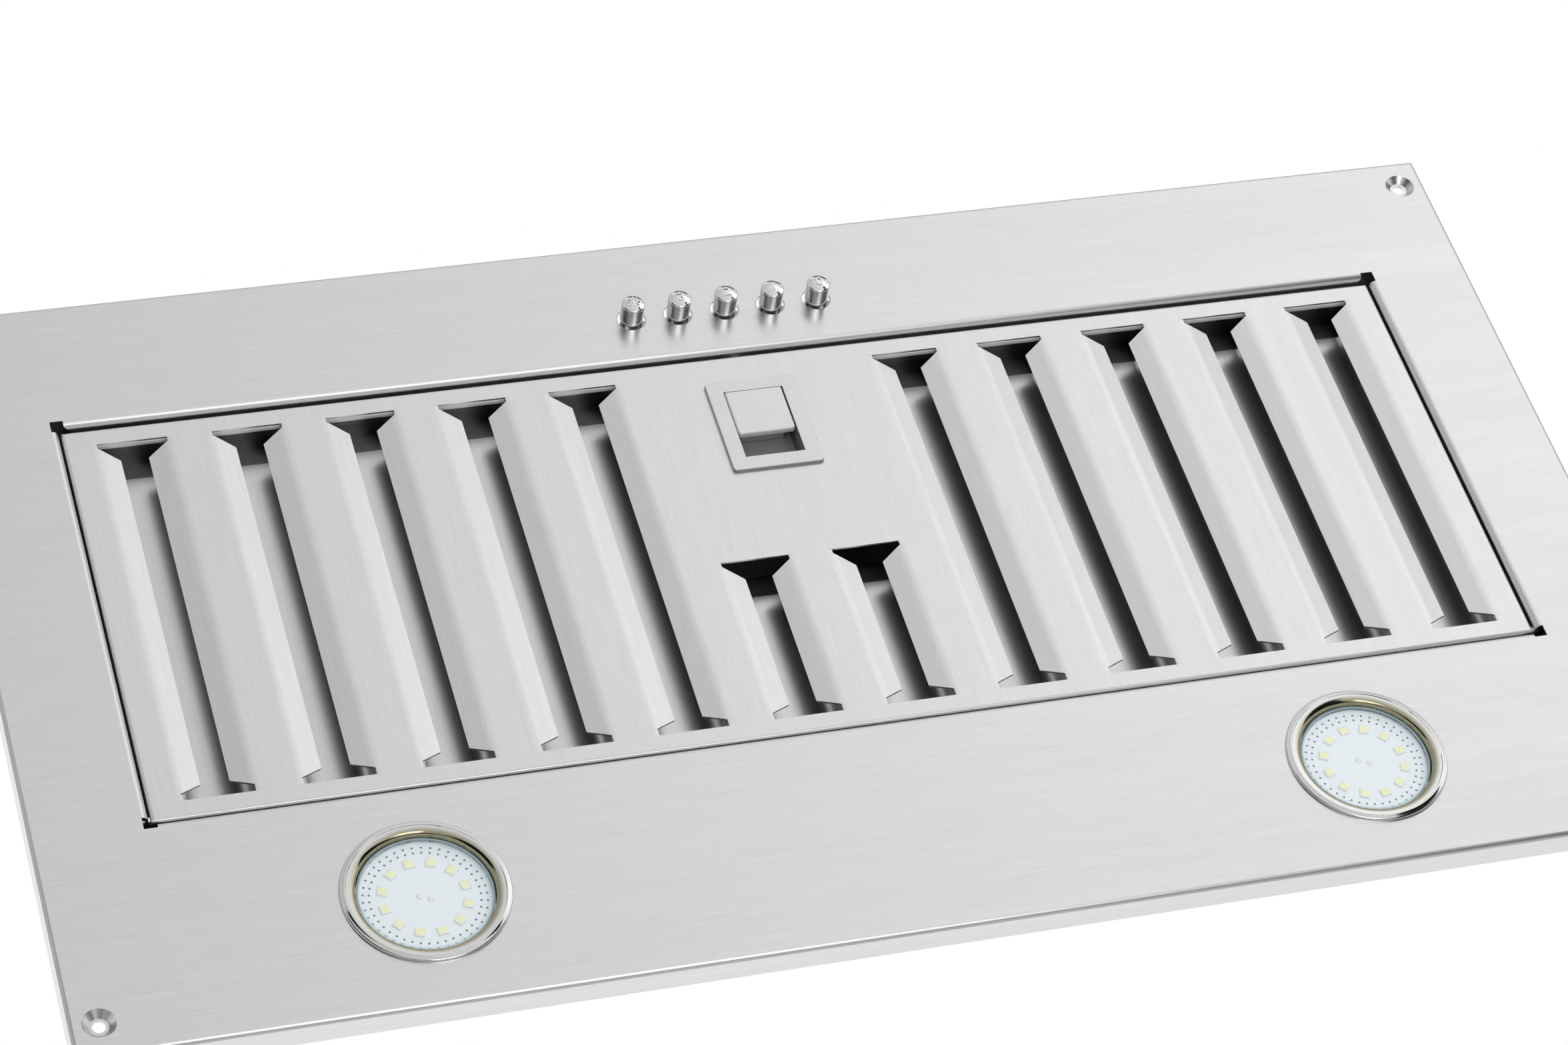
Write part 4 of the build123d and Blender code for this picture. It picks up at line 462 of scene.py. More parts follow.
# %% Brushed steel
LINE_LENGTH = 0.025
LINE_WIDTH = 0.00045
LINE_DEPTH = 0.000004
LINE_CONTRAST = 0.05
GLOSS_CHANGE = 0.02
LOOKS_UP_FROM = 0.1
LOOKS_UP_FULLY = 0.4
SLANT = (0.03, 0.02, 0.04)
ALONG_X, ALONG_Y = 0, 1


def brushed(name, colour, along, roughness, anisotropic, inner_shade_tone=1.0):
    """Ground steel with its lines along X or Y.

    The last argument is how much of the colour stays on faces that look up, into the hood: painted shade for
    the shaded insides of the slots.
    """
    finish, tree, shader = new_finish(name, colour, 1.0, roughness)
    stretch = [1 / LINE_WIDTH] * 3
    stretch[along] = 1 / LINE_LENGTH
    lines = pattern(tree, grinding_lines, stretch)
    tone = spread(tree, lines.outputs["Line"], 1 - LINE_CONTRAST, 1 + LINE_CONTRAST)
    # painted shade: faces that look up, into the shaded insides of the slots, are darkened
    if inner_shade_tone < 1:
        painted_inner_shade = ranged(tree, facing_part(tree, "Z"), LOOKS_UP_FROM, LOOKS_UP_FULLY, 1.0, inner_shade_tone)
        tone = value_node(tree, "MULTIPLY", painted_inner_shade, tone)
    tree.links.new(multiplied(tree, colour, tone), shader.inputs["Base Color"])
    gloss = spread(tree, lines.outputs["Band"], roughness - GLOSS_CHANGE, roughness + GLOSS_CHANGE)
    tree.links.new(gloss, shader.inputs["Roughness"])
    bump(tree, shader, lines.outputs["Line"], LINE_DEPTH)
    shader.inputs["Anisotropic"].default_value = anisotropic
    # the blur runs across the lines, and the slant keeps it defined on faces that look that way
    across = tree.nodes.new("ShaderNodeCombineXYZ")
    blur_way = list(SLANT)
    blur_way[ALONG_X if along == ALONG_Y else ALONG_Y] = 1.0
    for socket, value in zip(across.inputs, blur_way):
        socket.default_value = value
    in_world = tree.nodes.new("ShaderNodeVectorTransform")
    in_world.vector_type = "VECTOR"
    in_world.convert_from = "OBJECT"
    in_world.convert_to = "WORLD"
    tree.links.new(across.outputs[0], in_world.inputs[0])
    tree.links.new(in_world.outputs[0], shader.inputs["Tangent"])
    return finish


# colour, way of the lines, roughness, anisotropy, tone of the painted shade on the inner side
for name, settings in {
    "brushed_panel": ((0.77, 0.77, 0.775), ALONG_X, 0.31, 0.6),
    "brushed_filter": ((0.77, 0.77, 0.775), ALONG_Y, 0.34, 0.6, 0.3),
    "filter_strips": ((0.74, 0.74, 0.75), ALONG_Y, 0.3, 0.5),
    "filter_channel": ((0.86, 0.86, 0.87), ALONG_X, 0.3, 0.4),
    "clip_steel": ((0.66, 0.66, 0.67), ALONG_X, 0.34, 0.3),
}.items():
    finishes[name] = brushed(name, *settings)
print("brushed finishes:", list(finishes))

# %% [markdown]
# The filter's frame is folded channel. Its rolled hem, just behind the slots, keeps the channel's light
# colour at a lower metallic share, so that it takes up diffuse light as a painted highlight, while the wall
# behind it is darkened as painted shade. Two materials would need a cut in the mesh. A mask by height tells
# the two apart inside the one material.

# %% Filter frame
HEM_TOP_Z = 2.1 * MM
HEM_BLUR = 0.4 * MM
WALL_SHADE_TONE = 0.24
HEM_METALLIC = 0.35

tree = finishes["filter_channel"].node_tree
shader = tree.nodes["Principled BSDF"]
height = object_part(tree, "Z")
past_hem = ranged(tree, height, HEM_TOP_Z, HEM_TOP_Z + HEM_BLUR, 0.0, 1.0)
# painted shade: the wall past the hem is darkened
painted_wall_shade = tree.nodes.new("ShaderNodeMix")
painted_wall_shade.data_type = "RGBA"
painted_wall_shade.blend_type = "MULTIPLY"
painted_wall_shade.inputs["B"].default_value = (WALL_SHADE_TONE, WALL_SHADE_TONE, WALL_SHADE_TONE, 1)
line_colour = shader.inputs["Base Color"].links[0].from_socket
tree.links.new(past_hem, painted_wall_shade.inputs["Factor"])
tree.links.new(line_colour, painted_wall_shade.inputs["A"])
tree.links.new(painted_wall_shade.outputs["Result"], shader.inputs["Base Color"])
# painted highlight: the hem's lower metallic share lets it take up diffuse light
tree.links.new(ranged(tree, past_hem, 0.0, 1.0, HEM_METALLIC, 1.0), shader.inputs["Metallic"])
print("hem ends at", round(HEM_TOP_Z / MM, 1), "mm")

# %% [markdown]
# Galvanised sheet. Hot zinc freezes into flat crystals, each of which mirrors a little differently. A noise
# has no flat patches with straight borders, but a Voronoi pattern has. It gives one tone and one roughness
# per crystal, and a finer frost breaks up the surface.

# %% Galvanised sheet
CRYSTAL_SIZE = 0.009
CRYSTAL_TONES = (0.86, 1.06)
ROUGHNESS_CHANGES = (-0.08, 0.1)
FROST_DEPTH = 0.00003
ZINC_METALLIC = 0.85


def galvanised(name, colour, roughness):
    """Zinc-coated sheet with its spangle."""
    finish, tree, shader = new_finish(name, colour, ZINC_METALLIC, roughness)
    spangle = pattern(tree, zinc_spangle, [1 / CRYSTAL_SIZE] * 3)
    crystal = spangle.outputs["Crystal"]
    tone = ranged(tree, crystal, 0.0, 1.0, *CRYSTAL_TONES)
    tree.links.new(multiplied(tree, colour, tone), shader.inputs["Base Color"])
    smoothest, roughest = [roughness + change for change in ROUGHNESS_CHANGES]
    tree.links.new(ranged(tree, crystal, 0.0, 1.0, smoothest, roughest), shader.inputs["Roughness"])
    bump(tree, shader, spangle.outputs["Frost"], FROST_DEPTH)
    return finish


finishes["galvanised"] = galvanised("galvanised", (0.62, 0.64, 0.66), 0.42)
finishes["wheel_galvanised"] = galvanised("wheel_galvanised", (0.6, 0.61, 0.63), 0.4)
print("crystals of", round(CRYSTAL_SIZE / MM), "mm")

# %% [markdown]
# Cast, moulded and fired surfaces. A zinc casting, a moulded plastic and a lamp's ceramic differ in colour,
# gloss and the size of their grain, but not in kind. A material of its own for each would repeat the same
# nodes, so one function makes them all: speckled tone, uneven gloss and a fine relief. For the latch it also
# paints shade: darker deep in the recess, and on the bezel's upright sides.

# %% Cast metal, plastic and ceramic
DEEP_LOW_Z = 0.0
DEEP_HIGH_Z = 5.0 * MM
UPRIGHT_FROM = -0.75
UPRIGHT_FULLY = -0.15
SPECKLE_GLOSS = 0.06


def grained(name, colour, metallic, roughness, grain_size, depth, contrast, recess_shade_tone=1.0, side_shade_tone=1.0):
    """A surface with a fine grain: cast metal, moulded plastic or ceramic.

    The last two arguments are how much of the colour stays deep in a recess and how much stays on upright
    sides:
    both are painted shade.
    """
    finish, tree, shader = new_finish(name, colour, metallic, roughness)
    speckle = pattern(tree, cast_speckle, [1 / grain_size] * 3)
    tone = spread(tree, speckle.outputs["Grain"], 1 - contrast, 1 + contrast)
    # painted shade: the colour darkens deeper into a recess
    if recess_shade_tone < 1:
        deep = ranged(tree, object_part(tree, "Z"), DEEP_LOW_Z, DEEP_HIGH_Z, 1.0, recess_shade_tone)
        tone = value_node(tree, "MULTIPLY", deep, tone)
    # painted shade: upright sides are darkened
    if side_shade_tone < 1:
        upright = ranged(tree, facing_part(tree, "Z"), UPRIGHT_FROM, UPRIGHT_FULLY, 1.0, side_shade_tone)
        tone = value_node(tree, "MULTIPLY", upright, tone)
    tree.links.new(multiplied(tree, colour, tone), shader.inputs["Base Color"])
    gloss = spread(tree, speckle.outputs["Patch"], roughness - SPECKLE_GLOSS, roughness + SPECKLE_GLOSS)
    tree.links.new(gloss, shader.inputs["Roughness"])
    bump(tree, shader, speckle.outputs["Grain"], depth)
    return finish


# colour, metallic, roughness, grain size and relief in metres, contrast, tones of the painted shade deep down
# and on upright sides
for name, settings in {
    "latch_cast": ((0.75, 0.75, 0.75), 0.45, 0.4, 0.0005, 0.00005, 0.12, 0.5, 0.4),
    "latch_slide_cast": ((0.76, 0.76, 0.76), 0.45, 0.36, 0.0005, 0.00005, 0.12, 0.5),
    "motor_cast": ((0.6, 0.6, 0.61), 0.9, 0.5, 0.0012, 0.00008, 0.08),
    "flap_plastic": ((0.2, 0.2, 0.21), 0.0, 0.45, 0.0008, 0.00003, 0.05),
    "inlet_plastic": ((0.12, 0.12, 0.13), 0.0, 0.45, 0.0008, 0.00003, 0.05),
    "capacitor_plastic": ((0.85, 0.85, 0.83), 0.0, 0.4, 0.001, 0.00002, 0.02),
    "terminal_plastic": ((0.88, 0.88, 0.85), 0.0, 0.4, 0.001, 0.00002, 0.02),
    "gland_plastic": ((0.1, 0.1, 0.11), 0.0, 0.5, 0.0006, 0.00004, 0.05),
    "switch_plastic": ((0.1, 0.1, 0.1), 0.0, 0.45, 0.0007, 0.00003, 0.05),
    "lamp_case": ((0.9, 0.9, 0.9), 0.0, 0.4, 0.001, 0.00002, 0.02),
    "holder_ceramic": ((0.93, 0.92, 0.88), 0.0, 0.25, 0.0015, 0.00002, 0.02),
    "led_yellow": ((0.98, 0.96, 0.6), 0.0, 0.35, 0.0004, 0.00001, 0.02),
}.items():
    finishes[name] = grained(name, *settings)
print(len(finishes), "finishes so far")

# %% [markdown]
# Bright metal. Screws, shafts, springs and the buttons' chrome are smooth, so only their gloss and a trace of
# grain tell them apart. A perfect mirror would look like glass. The same function as before, with a low
# roughness and hardly any relief, leaves them slightly uneven, as plated and drawn metal is.

# %% Bright metal
# the columns are those of the cast finishes, without their last two
for name, settings in {
    "zinc_fasteners": ((0.7, 0.71, 0.72), 1.0, 0.28, 0.0005, 0.00001, 0.05),
    "bright_rod": ((0.72, 0.72, 0.73), 1.0, 0.2, 0.0005, 0.000004, 0.03),
    "bearing_steel": ((0.66, 0.66, 0.67), 1.0, 0.24, 0.0005, 0.000004, 0.03),
    "spring_steel": ((0.6, 0.6, 0.61), 1.0, 0.3, 0.0005, 0.00001, 0.05),
    "button_chrome": ((0.82, 0.82, 0.825), 1.0, 0.1, 0.001, 0.000001, 0.02),
}.items():
    finishes[name] = grained(name, *settings)
print(len(finishes), "finishes with the bright metal")

# %% [markdown]
# The lamp's board is white solder mask with two rings of small grey contact dots. They aren't worth a hundred
# little meshes. The angle round the lamp's middle, cut into equal shares, turns one dot's mask into a ring of
# them. Both lamps share the material, because the distance from X = 0 is the same for both.

# %% Lamp board with its dots
glass_low, glass_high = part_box("lamp_glass_right")
lamp_middle = (glass_low + glass_high) / 2
glass_r = (glass_high.x - glass_low.x) / 2
DOT_COUNT = 42
DOT_R = 0.45 * MM
DOT_RINGS = (20.3 * MM, 22.6 * MM)
SHARES_ADDED = 100.0
BOARD_WHITE = (0.9, 0.94, 0.97)
DOT_GREY = (0.16, 0.17, 0.18)
BOARD_FROM_AFAR = (0.86, 0.9, 0.93)


def from_lamp(tree):
    """How far a point lies from its lamp's middle, along X and along Y."""
    x = value_node(tree, "SUBTRACT", value_node(tree, "ABSOLUTE", object_part(tree, "X")), lamp_middle.x)
    y = value_node(tree, "SUBTRACT", object_part(tree, "Y"), lamp_middle.y)
    return x, y


def distance_of(tree, x, y):
    """The distance that two parts at right angles add up to."""
    squares = value_node(tree, "ADD", value_node(tree, "MULTIPLY", x, x), value_node(tree, "MULTIPLY", y, y))
    return value_node(tree, "SQRT", squares)


def two_colours(tree, mask, colour_off, colour_on):
    """One colour where the mask is 0, and the other where it is 1."""
    mix = tree.nodes.new("ShaderNodeMix")
    mix.data_type = "RGBA"
    mix.inputs["A"].default_value = (*colour_off, 1)
    mix.inputs["B"].default_value = (*colour_on, 1)
    tree.links.new(mask, mix.inputs["Factor"])
    return mix.outputs["Result"]


board_finish, tree, shader = new_finish("board_white", BOARD_FROM_AFAR, 0.0, 0.3)
x, y = from_lamp(tree)
distance = distance_of(tree, x, y)
shares = value_node(tree, "DIVIDE", value_node(tree, "ARCTAN2", y, x), 2 * pi / DOT_COUNT)
# whole shares are added, so that none is below zero when only the fraction is kept
in_share = value_node(tree, "FRACT", value_node(tree, "ADD", shares, SHARES_ADDED))
from_dot = value_node(tree, "SUBTRACT", in_share, 0.5)
masks = []
for ring_r in DOT_RINGS:
    along_ring = value_node(tree, "MULTIPLY", from_dot, 2 * pi * ring_r / DOT_COUNT)
    across_ring = value_node(tree, "SUBTRACT", distance, ring_r)
    masks.append(value_node(tree, "LESS_THAN", distance_of(tree, along_ring, across_ring), DOT_R))
dots = value_node(tree, "MAXIMUM", *masks)
tree.links.new(two_colours(tree, dots, BOARD_WHITE, DOT_GREY), shader.inputs["Base Color"])
finishes["board_white"] = board_finish
print(len(DOT_RINGS) * DOT_COUNT, "dots on each board")

# %% [markdown]
# The lamp's glass is a thin clear disc with a bluish rim, where one looks into the thickness of the glass.
# Real transmission would darken the board behind it, because light then needs two more bounces to get there.
# A low alpha shows the board as it is, and it rises near the rim, where the glass shows its colour.

# %% Lamp glass
RIM_WIDTH = 1.6 * MM
RIM_FULL = 0.6 * MM
CLEAR_ALPHA = 0.05
RIM_ALPHA = 0.55

glass_finish, tree, shader = new_finish("lamp_glass", (0.62, 0.82, 0.9), 0.0, 0.05)
distance = distance_of(tree, *from_lamp(tree))
alpha = ranged(tree, distance, glass_r - RIM_WIDTH, glass_r - RIM_FULL, CLEAR_ALPHA, RIM_ALPHA)
tree.links.new(alpha, shader.inputs["Alpha"])
glass_finish.surface_render_method = "BLENDED"
finishes["lamp_glass"] = glass_finish
print("glass of", round(2 * glass_r / MM, 1), "mm")

# %% [markdown]
# The trim ring is plated all over. The lower part of its slope mirrors the yellow of the LEDs and looks
# olive, while its upper part and its step are plain chrome. A true mirror image of such small windows would
# be noisy, so a mask by distance from the lamp's middle changes one colour to the other.

# %% Trim ring finish
OLIVE_R = 28.0 * MM
OLIVE_FADE = (-1.4 * MM, 0.4 * MM)
OLIVE = (0.42, 0.39, 0.26)
SILVER = (0.74, 0.74, 0.73)
PLATING_GRAIN = 1.5 * MM
PLATING_TONES = (0.96, 1.04)
PLATING_ROUGHNESS = (0.07, 0.14)

ring_finish, tree, shader = new_finish("ring_chrome", (0.8, 0.8, 0.8), 1.0, 0.1)
distance = distance_of(tree, *from_lamp(tree))
outside = ranged(tree, distance, *[OLIVE_R + step for step in OLIVE_FADE], 0.0, 1.0)
# painted reflection: inside OLIVE_R the ring is olive, standing in for the LEDs' yellow mirrored in its slope
plating_and_painted_reflection = two_colours(tree, outside, OLIVE, SILVER)
speckle = pattern(tree, cast_speckle, [1 / PLATING_GRAIN] * 3)
plating_and_painted_reflection = multiplied(tree, plating_and_painted_reflection, spread(tree, speckle.outputs["Grain"], *PLATING_TONES))
tree.links.new(plating_and_painted_reflection, shader.inputs["Base Color"])
tree.links.new(spread(tree, speckle.outputs["Patch"], *PLATING_ROUGHNESS), shader.inputs["Roughness"])
finishes["ring_chrome"] = ring_finish
print("the ring turns silver at", round(OLIVE_R / MM, 1), "mm")

# %% [markdown]
# Dressing the CAD nodes. The record names a material slot for each node. The finishes above carry the same
# names, so one loop dresses all the nodes, and no list of parts has to be kept here. Only the latch's sliding
# flap gets a finish of its own, because fingers polish it where the bezel around it stays rougher; the bezel
# alone also has painted shade on its upright sides.

# %% Dress the CAD nodes
for subpart in frame["record"]["subparts"]:
    node = nodes[subpart["node"]]
    finish = finishes[subpart["material_slot"]]
    if not node.data.materials:
        node.data.materials.append(finish)
    for material_slot in node.material_slots:
        material_slot.material = finish
for material_slot in nodes["latch_slide"].material_slots:
    material_slot.material = finishes["latch_slide_cast"]

# %% [markdown]
# Turned pieces. A push button and a lamp ring are both turned or spun parts: one profile carried round an
# axis. A spin of a drawn profile would do. Here a circle is extruded from step to step and scaled to each new
# radius, which keeps the steps readable as a list of radius and height.

# %% Turned pieces
AROUND = 96
SAME_PLACE = 0.000001


def close_mesh():
    """Merge the edited piece's doubled points and turn all its faces outwards."""
    bpy.ops.mesh.select_all(action="SELECT")
    bpy.ops.mesh.remove_doubles(threshold=SAME_PLACE)
    bpy.ops.mesh.normals_make_consistent(inside=False)


def turned(name, centre, steps, hollow):
    """A turned piece on the vertical axis through centre. steps are (radius, z) from one end to the other."""
    clear_selection()
    radius, z = steps[0]
    bpy.ops.mesh.primitive_circle_add(
        vertices=AROUND, radius=radius, fill_type="NOTHING" if hollow else "NGON",
        location=(centre.x, centre.y, z),
    )
    piece = bpy.context.object
    piece.name = name
    bpy.ops.object.transform_apply(location=True, rotation=False, scale=False)
    bpy.ops.object.mode_set(mode="EDIT")
    bpy.ops.mesh.select_all(action="SELECT")
    for next_radius, next_z in steps[1:]:
        growth = next_radius / radius
        bpy.ops.mesh.extrude_region_move(TRANSFORM_OT_translate={"value": (0, 0, next_z - z)})
        bpy.ops.transform.resize(value=(growth, growth, 1), center_override=(centre.x, centre.y, next_z))
        radius, z = next_radius, next_z
    close_mesh()
    bpy.ops.object.mode_set(mode="OBJECT")
    return piece


def joined(name, pieces):
    """Join several pieces into one."""
    clear_selection()
    for piece in pieces:
        piece.select_set(True)
    bpy.context.view_layer.objects.active = pieces[0]
    bpy.ops.object.join()
    pieces[0].name = name
    return pieces[0]


def finish_piece(piece, slot_name, body, *replaced, smooth_degrees=35):
    """Smooth a finished piece, give it its material, hang it on its body and hide the CAD parts it replaces.
    """
    clear_selection()
    piece.select_set(True)
    bpy.context.view_layer.objects.active = piece
    bpy.ops.object.transform_apply(location=True, rotation=True, scale=True)
    bpy.ops.object.shade_smooth_by_angle(angle=radians(smooth_degrees))
    piece.data.materials.clear()
    piece.data.materials.append(finishes[slot_name])
    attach(piece, body)
    if replaced:
        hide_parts(*replaced)
    print(piece.name, len(piece.data.polygons), "faces")


print("turned pieces have", AROUND, "sides")

# %% [markdown]
# Push buttons. Each is a polished cap on a stem, with a rounded shoulder and a domed end. A cylinder with a
# bevel would keep a flat end, so the cap is turned from its own profile. Its dome sits a little lower than
# the CAD's, which leaves room for a raised sign inside the CAD's height.

# %% Button caps
SIGN_PROUD = 0.35 * MM
SHOULDER_R = 0.9 * MM
DOME_HEIGHT = 1.0 * MM
DOME_STEPS = 8
SHOULDER_STEPS = 6
CAP_CHAMFER = 0.3 * MM
CAP_TOP_Z = 6.0 * MM
STEM_R = 3.0 * MM


def button_cap(name, middle, low, high, cap_r):
    """The cap and stem, from the domed tip upwards."""
    tip_z = low.z + SIGN_PROUD
    flat_r = cap_r - SHOULDER_R
    dome_r = (flat_r**2 + DOME_HEIGHT**2) / (2 * DOME_HEIGHT)
    dome_angle = atan2(flat_r, dome_r - DOME_HEIGHT)
    steps = []
    for k in range(1, DOME_STEPS + 1):
        turn = dome_angle * k / DOME_STEPS
        steps.append((dome_r * sin(turn), tip_z + dome_r * (1 - cos(turn))))
    for k in range(1, SHOULDER_STEPS + 1):
        turn = dome_angle + (pi / 2 - dome_angle) * k / SHOULDER_STEPS
        steps.append((
            flat_r + SHOULDER_R * (sin(turn) - sin(dome_angle)) / (1 - sin(dome_angle)),
            tip_z + DOME_HEIGHT + SHOULDER_R * (cos(dome_angle) - cos(turn)),
        ))
    steps += [(cap_r, CAP_TOP_Z - CAP_CHAMFER), (cap_r - CAP_CHAMFER, CAP_TOP_Z)]
    steps += [(STEM_R, CAP_TOP_Z), (STEM_R, high.z)]
    return turned(name, middle, steps, hollow=False)


print("signs stand", round(SIGN_PROUD / MM, 2), "mm proud of the caps")

# %% [markdown]
# Button signs. The real ones stand proud of the dome: a lamp with rays, then 3, 2, 1 and 0. A bump in the
# material could show them, but from the side they would vanish. So the figures are text turned into mesh, and
# the lamp is a small ring with bars for its rays. Each is set into its dome and joined to the cap.

# %% Button signs
SIGN_SIZE = 6.2 * MM
SIGN_DEPTH = 1.0 * MM
SIGN_THINNED = 0.07 * MM
SIGN_BEVEL = 0.06 * MM
BULB_R = 0.95 * MM
BULB_WIRE_R = 0.32 * MM
RAY_COUNT = 8
RAY_REACH = 2.15 * MM
RAY_LENGTH = 0.9 * MM
RAY_WIDTH = 0.4 * MM


def text_sign(letter, middle, z):
    """A raised figure that reads from below with its foot towards the lamps."""
    clear_selection()
    bpy.ops.object.text_add(location=(middle.x, middle.y, z), rotation=(pi, 0, 0))
    sign = bpy.context.object
    sign.data.body = letter
    sign.data.size = SIGN_SIZE
    sign.data.extrude = SIGN_DEPTH / 2
    sign.data.offset = -SIGN_THINNED
    sign.data.bevel_depth = SIGN_BEVEL
    sign.data.align_x = "CENTER"
    sign.data.align_y = "CENTER"
    bpy.ops.object.convert(target="MESH")
    bpy.ops.object.origin_set(type="ORIGIN_GEOMETRY", center="BOUNDS")
    sign.location = (middle.x, middle.y, z)
    bpy.ops.object.transform_apply(location=True, rotation=True, scale=True)
    return sign


def lamp_sign(middle, z):
    """A small ring with its rays."""
    clear_selection()
    bpy.ops.mesh.primitive_torus_add(
        location=(middle.x, middle.y, z), major_radius=BULB_R, minor_radius=BULB_WIRE_R,
        major_segments=32, minor_segments=10,
    )
    pieces = [bpy.context.object]
    for k in range(RAY_COUNT):
        turn = 2 * pi * k / RAY_COUNT
        ray_place = (middle.x + RAY_REACH * cos(turn), middle.y + RAY_REACH * sin(turn), z)
        clear_selection()
        bpy.ops.mesh.primitive_cube_add(size=1, location=ray_place, rotation=(0, 0, turn))
        ray = bpy.context.object
        ray.scale = (RAY_LENGTH, RAY_WIDTH, SIGN_DEPTH)
        bpy.ops.object.transform_apply(location=True, rotation=True, scale=True)
        pieces.append(ray)
    return joined("lamp_sign", pieces)


for body_name, members in frame["record"]["behaviour"]["bodies"].items():
    if not body_name.startswith("push_button_"):
        continue
    sign_name = body_name.removeprefix("push_button_")
    low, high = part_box(members[0])
    middle = (low + high) / 2
    cap = button_cap(f"push_button_cap_{sign_name}", middle, low, high, (high.x - low.x) / 2)
    sign_z = low.z + SIGN_DEPTH / 2 + SIGN_BEVEL
    sign = lamp_sign(middle, sign_z) if sign_name == "light" else text_sign(sign_name, middle, sign_z)
    button = joined(f"push_button_cap_{sign_name}", [cap, sign])
    finish_piece(button, "button_chrome", body_name, members[0])

# %% [markdown]
# Lamp rings. The trim ring is pressed sheet: a low step on the panel, a rounded crest and a polished slope
# down to the glass. The CAD's ring has the same size with plainer steps. Rounding its edges with a bevel
# would give them all one radius, so the ring is turned again from its own profile, where each curve has its
# own.

# %% Lamp rings
RING_EDGE = 0.35 * MM
ROUND_WIDTH = 0.9 * MM
ROUND_HEIGHT = 0.95 * MM
ROUND_STEPS = 8
LAND_INSET = 1.6 * MM
LAND_HEIGHT = 1.65 * MM
CREST_HEIGHT = 1.8 * MM
CREST_R = 29.2 * MM
CREST_WIDTH = 0.3 * MM
CREST_DIP = 0.05 * MM
SLOPE_INSET = 0.2 * MM
SLOPE_START = 0.3 * MM
SLOPE_HEIGHT = 1.7 * MM
SLOPE_STEPS = 10
SLEEVE_WALL = 1.6 * MM
GLASS_GAP = 0.4 * MM
panel_face_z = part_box("lamp_ring_left")[0].z + CREST_HEIGHT


def lamp_ring(side, centre, low, high, inner_r):
    """The pressed trim ring with its sleeve."""
    outer_r = (high.x - low.x) / 2
    face = panel_face_z
    crest_z = face - CREST_HEIGHT
    steps = [(outer_r, face), (outer_r, face - RING_EDGE)]
    for k in range(1, ROUND_STEPS + 1):
        turn = pi / 2 * k / ROUND_STEPS
        steps.append((outer_r - ROUND_WIDTH * (1 - cos(turn)), face - RING_EDGE - ROUND_HEIGHT * sin(turn)))
    steps += [(outer_r - LAND_INSET, face - LAND_HEIGHT), (CREST_R + CREST_WIDTH, crest_z)]
    steps += [(CREST_R, crest_z + CREST_DIP), (CREST_R - SLOPE_INSET, crest_z + SLOPE_START)]
    slope_width = CREST_R - SLOPE_INSET - inner_r
    for k in range(1, SLOPE_STEPS + 1):
        turn = pi / 2 * k / SLOPE_STEPS
        slope_z = crest_z + SLOPE_START + SLOPE_HEIGHT * (1 - cos(turn))
        steps.append((inner_r + slope_width * (1 - sin(turn)), slope_z))
    steps += [(inner_r, high.z), (inner_r + SLEEVE_WALL, high.z)]
    steps += [(inner_r + SLEEVE_WALL, face), (outer_r, face)]
    return turned(f"lamp_trim_{side}", centre, steps, hollow=True)


print("panel face at", round(panel_face_z / MM, 2), "mm")

# %% [markdown]
# LEDs. Behind the glass the board carries twelve surface-mounted LEDs, each a white case with a yellow window
# of phosphor, and two solder drops in the middle. Plain boxes would have no edge to catch the light, so each
# case and window gets a small bevel, and the drops are flattened balls that sink into the board.

# %% LEDs
LED_COUNT = 12
LED_CIRCLE_R = 15.75 * MM
LED_START = radians(19.6)
LED_ALONG = 3.8 * MM
LED_ACROSS = 3.7 * MM
LED_WINDOW = 3.1 * MM
CASE_SHARE = 0.9
CASE_EDGE = 0.15 * MM
WINDOW_THICK = 0.1 * MM
WINDOW_EDGE = 0.04 * MM
DROP_R = 1.25 * MM
DROP_PLACE = (1.9 * MM, 0.9 * MM)
DROP_FLATNESS = 0.7


def rounded_block(name, size, place, turn, edge):
    """A small block with rounded edges."""
    clear_selection()
    bpy.ops.mesh.primitive_cube_add(size=1, location=place, rotation=(0, 0, turn))
    block = bpy.context.object
    block.name = name
    block.scale = size
    bpy.ops.object.transform_apply(location=True, rotation=True, scale=True)
    rounding = block.modifiers.new("rounding", "BEVEL")
    rounding.width = edge
    rounding.segments = 2
    bpy.ops.object.modifier_apply(modifier=rounding.name)
    return block


def led_cases(side, centre, low, high):
    """The white cases and the yellow windows of one lamp's LEDs, as two pieces."""
    thick = high.z - low.z
    cases = []
    windows = []
    for k in range(LED_COUNT):
        turn = LED_START + 2 * pi * k / LED_COUNT
        place = Vector((
            centre.x + LED_CIRCLE_R * cos(turn), centre.y + LED_CIRCLE_R * sin(turn), high.z - thick / 2
        ))
        case_size = (LED_ACROSS, LED_ALONG, thick * CASE_SHARE)
        cases.append(rounded_block("case", case_size, place, turn, CASE_EDGE))
        window_place = place - Vector((0, 0, thick * CASE_SHARE / 2))
        window_size = (LED_WINDOW, LED_WINDOW, WINDOW_THICK)
        windows.append(rounded_block("window", window_size, window_place, turn, WINDOW_EDGE))
    return joined(f"led_cases_{side}", cases), joined(f"led_windows_{side}", windows)


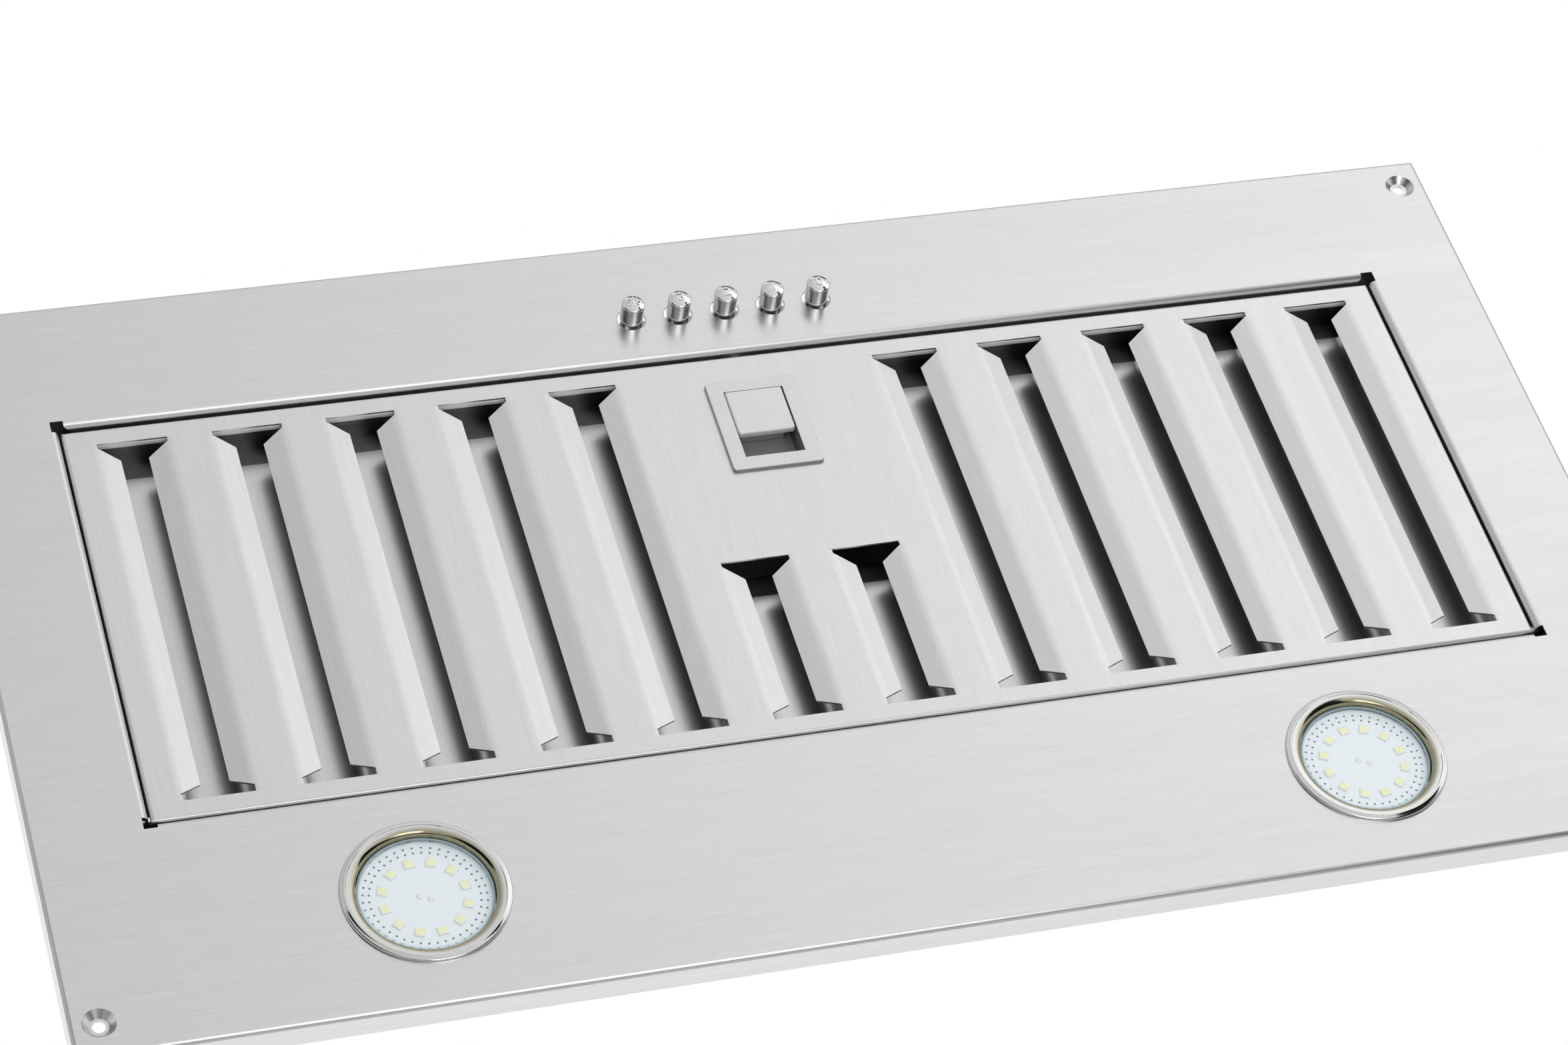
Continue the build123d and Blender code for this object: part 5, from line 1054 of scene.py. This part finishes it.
def solder_drops(side, centre, board_z):
    """The two drops of solder in the middle of the board, as one piece."""
    drops = []
    for way in (-1, 1):
        clear_selection()
        bpy.ops.mesh.primitive_uv_sphere_add(
            segments=32, ring_count=16, radius=DROP_R,
            location=(centre.x + way * DROP_PLACE[0], centre.y + way * DROP_PLACE[1], board_z),
        )
        drop = bpy.context.object
        drop.scale = (1, 1, DROP_FLATNESS)
        bpy.ops.object.transform_apply(location=True, rotation=True, scale=True)
        drops.append(drop)
    return joined(f"solder_drops_{side}", drops)


for side in ("left", "right"):
    glass_low, glass_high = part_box(f"lamp_glass_{side}")
    centre = (glass_low + glass_high) / 2
    ring_low, ring_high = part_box(f"lamp_ring_{side}")
    ring = lamp_ring(side, centre, ring_low, ring_high, glass_r + GLASS_GAP)
    finish_piece(ring, "ring_chrome", "hood", f"lamp_ring_{side}")
    leds_low, leds_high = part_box(f"lamp_leds_{side}")
    cases, windows = led_cases(side, centre, leds_low, leds_high)
    drops = solder_drops(side, centre, leds_high.z)
    finish_piece(drops, "lamp_case", "hood", f"lamp_leds_{side}", smooth_degrees=60)
    finish_piece(cases, "lamp_case", "hood", f"lamp_leds_{side}")
    finish_piece(windows, "led_yellow", "hood", f"lamp_leds_{side}")

# %% [markdown]
# Springs. Each button and the latch is pushed back by a small coil of steel wire. A curve with a round
# thickness could follow a helix that is worked out point by point. The Screw modifier is simpler: it winds a
# circle of wire into the coil.

# %% Springs
WIRE_SIDES = 10
TURN_STEPS = 20
LATCH_WIRE_R = 0.28 * MM
LATCH_TURNS = 6
BUTTON_WIRE_R = 0.3 * MM
BUTTON_TURNS = 5


def coil_spring(name, centre, outer_r, wire_r, length, turns, lie_along_y=False):
    """An open coil of wire about the vertical axis, or about Y, with its middle at centre."""
    clear_selection()
    bpy.ops.mesh.primitive_circle_add(
        vertices=WIRE_SIDES, radius=wire_r, rotation=(pi / 2, 0, 0),
        location=(outer_r - wire_r, 0, wire_r - length / 2),
    )
    spring = bpy.context.object
    spring.name = name
    bpy.ops.object.transform_apply(location=True, rotation=True, scale=False)
    winding = spring.modifiers.new("winding", "SCREW")
    winding.screw_offset = (length - 2 * wire_r) / turns
    winding.iterations = turns
    winding.steps = winding.render_steps = TURN_STEPS
    bpy.ops.object.modifier_apply(modifier=winding.name)
    bpy.ops.object.mode_set(mode="EDIT")
    bpy.ops.mesh.select_all(action="SELECT")
    bpy.ops.mesh.fill_holes(sides=WIRE_SIDES)
    close_mesh()
    bpy.ops.object.mode_set(mode="OBJECT")
    if lie_along_y:
        spring.rotation_euler = (pi / 2, 0, 0)
    spring.location = centre
    return spring


for node_name in nodes:
    if "spring" not in node_name:
        continue
    low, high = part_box(node_name)
    middle = (low + high) / 2
    outer_r = (high.x - low.x) / 2
    if node_name == "latch_spring":
        length = high.y - low.y
        coil = coil_spring("latch_coil", middle, outer_r, LATCH_WIRE_R, length, LATCH_TURNS, lie_along_y=True)
        finish_piece(coil, "spring_steel", "filter", node_name, smooth_degrees=60)
    else:
        length = high.z - low.z
        sign_name = node_name.removeprefix("button_spring_")
        coil = coil_spring(f"button_coil_{sign_name}", middle, outer_r, BUTTON_WIRE_R, length, BUTTON_TURNS)
        finish_piece(coil, "spring_steel", "hood", node_name, smooth_degrees=60)
    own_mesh(coil)
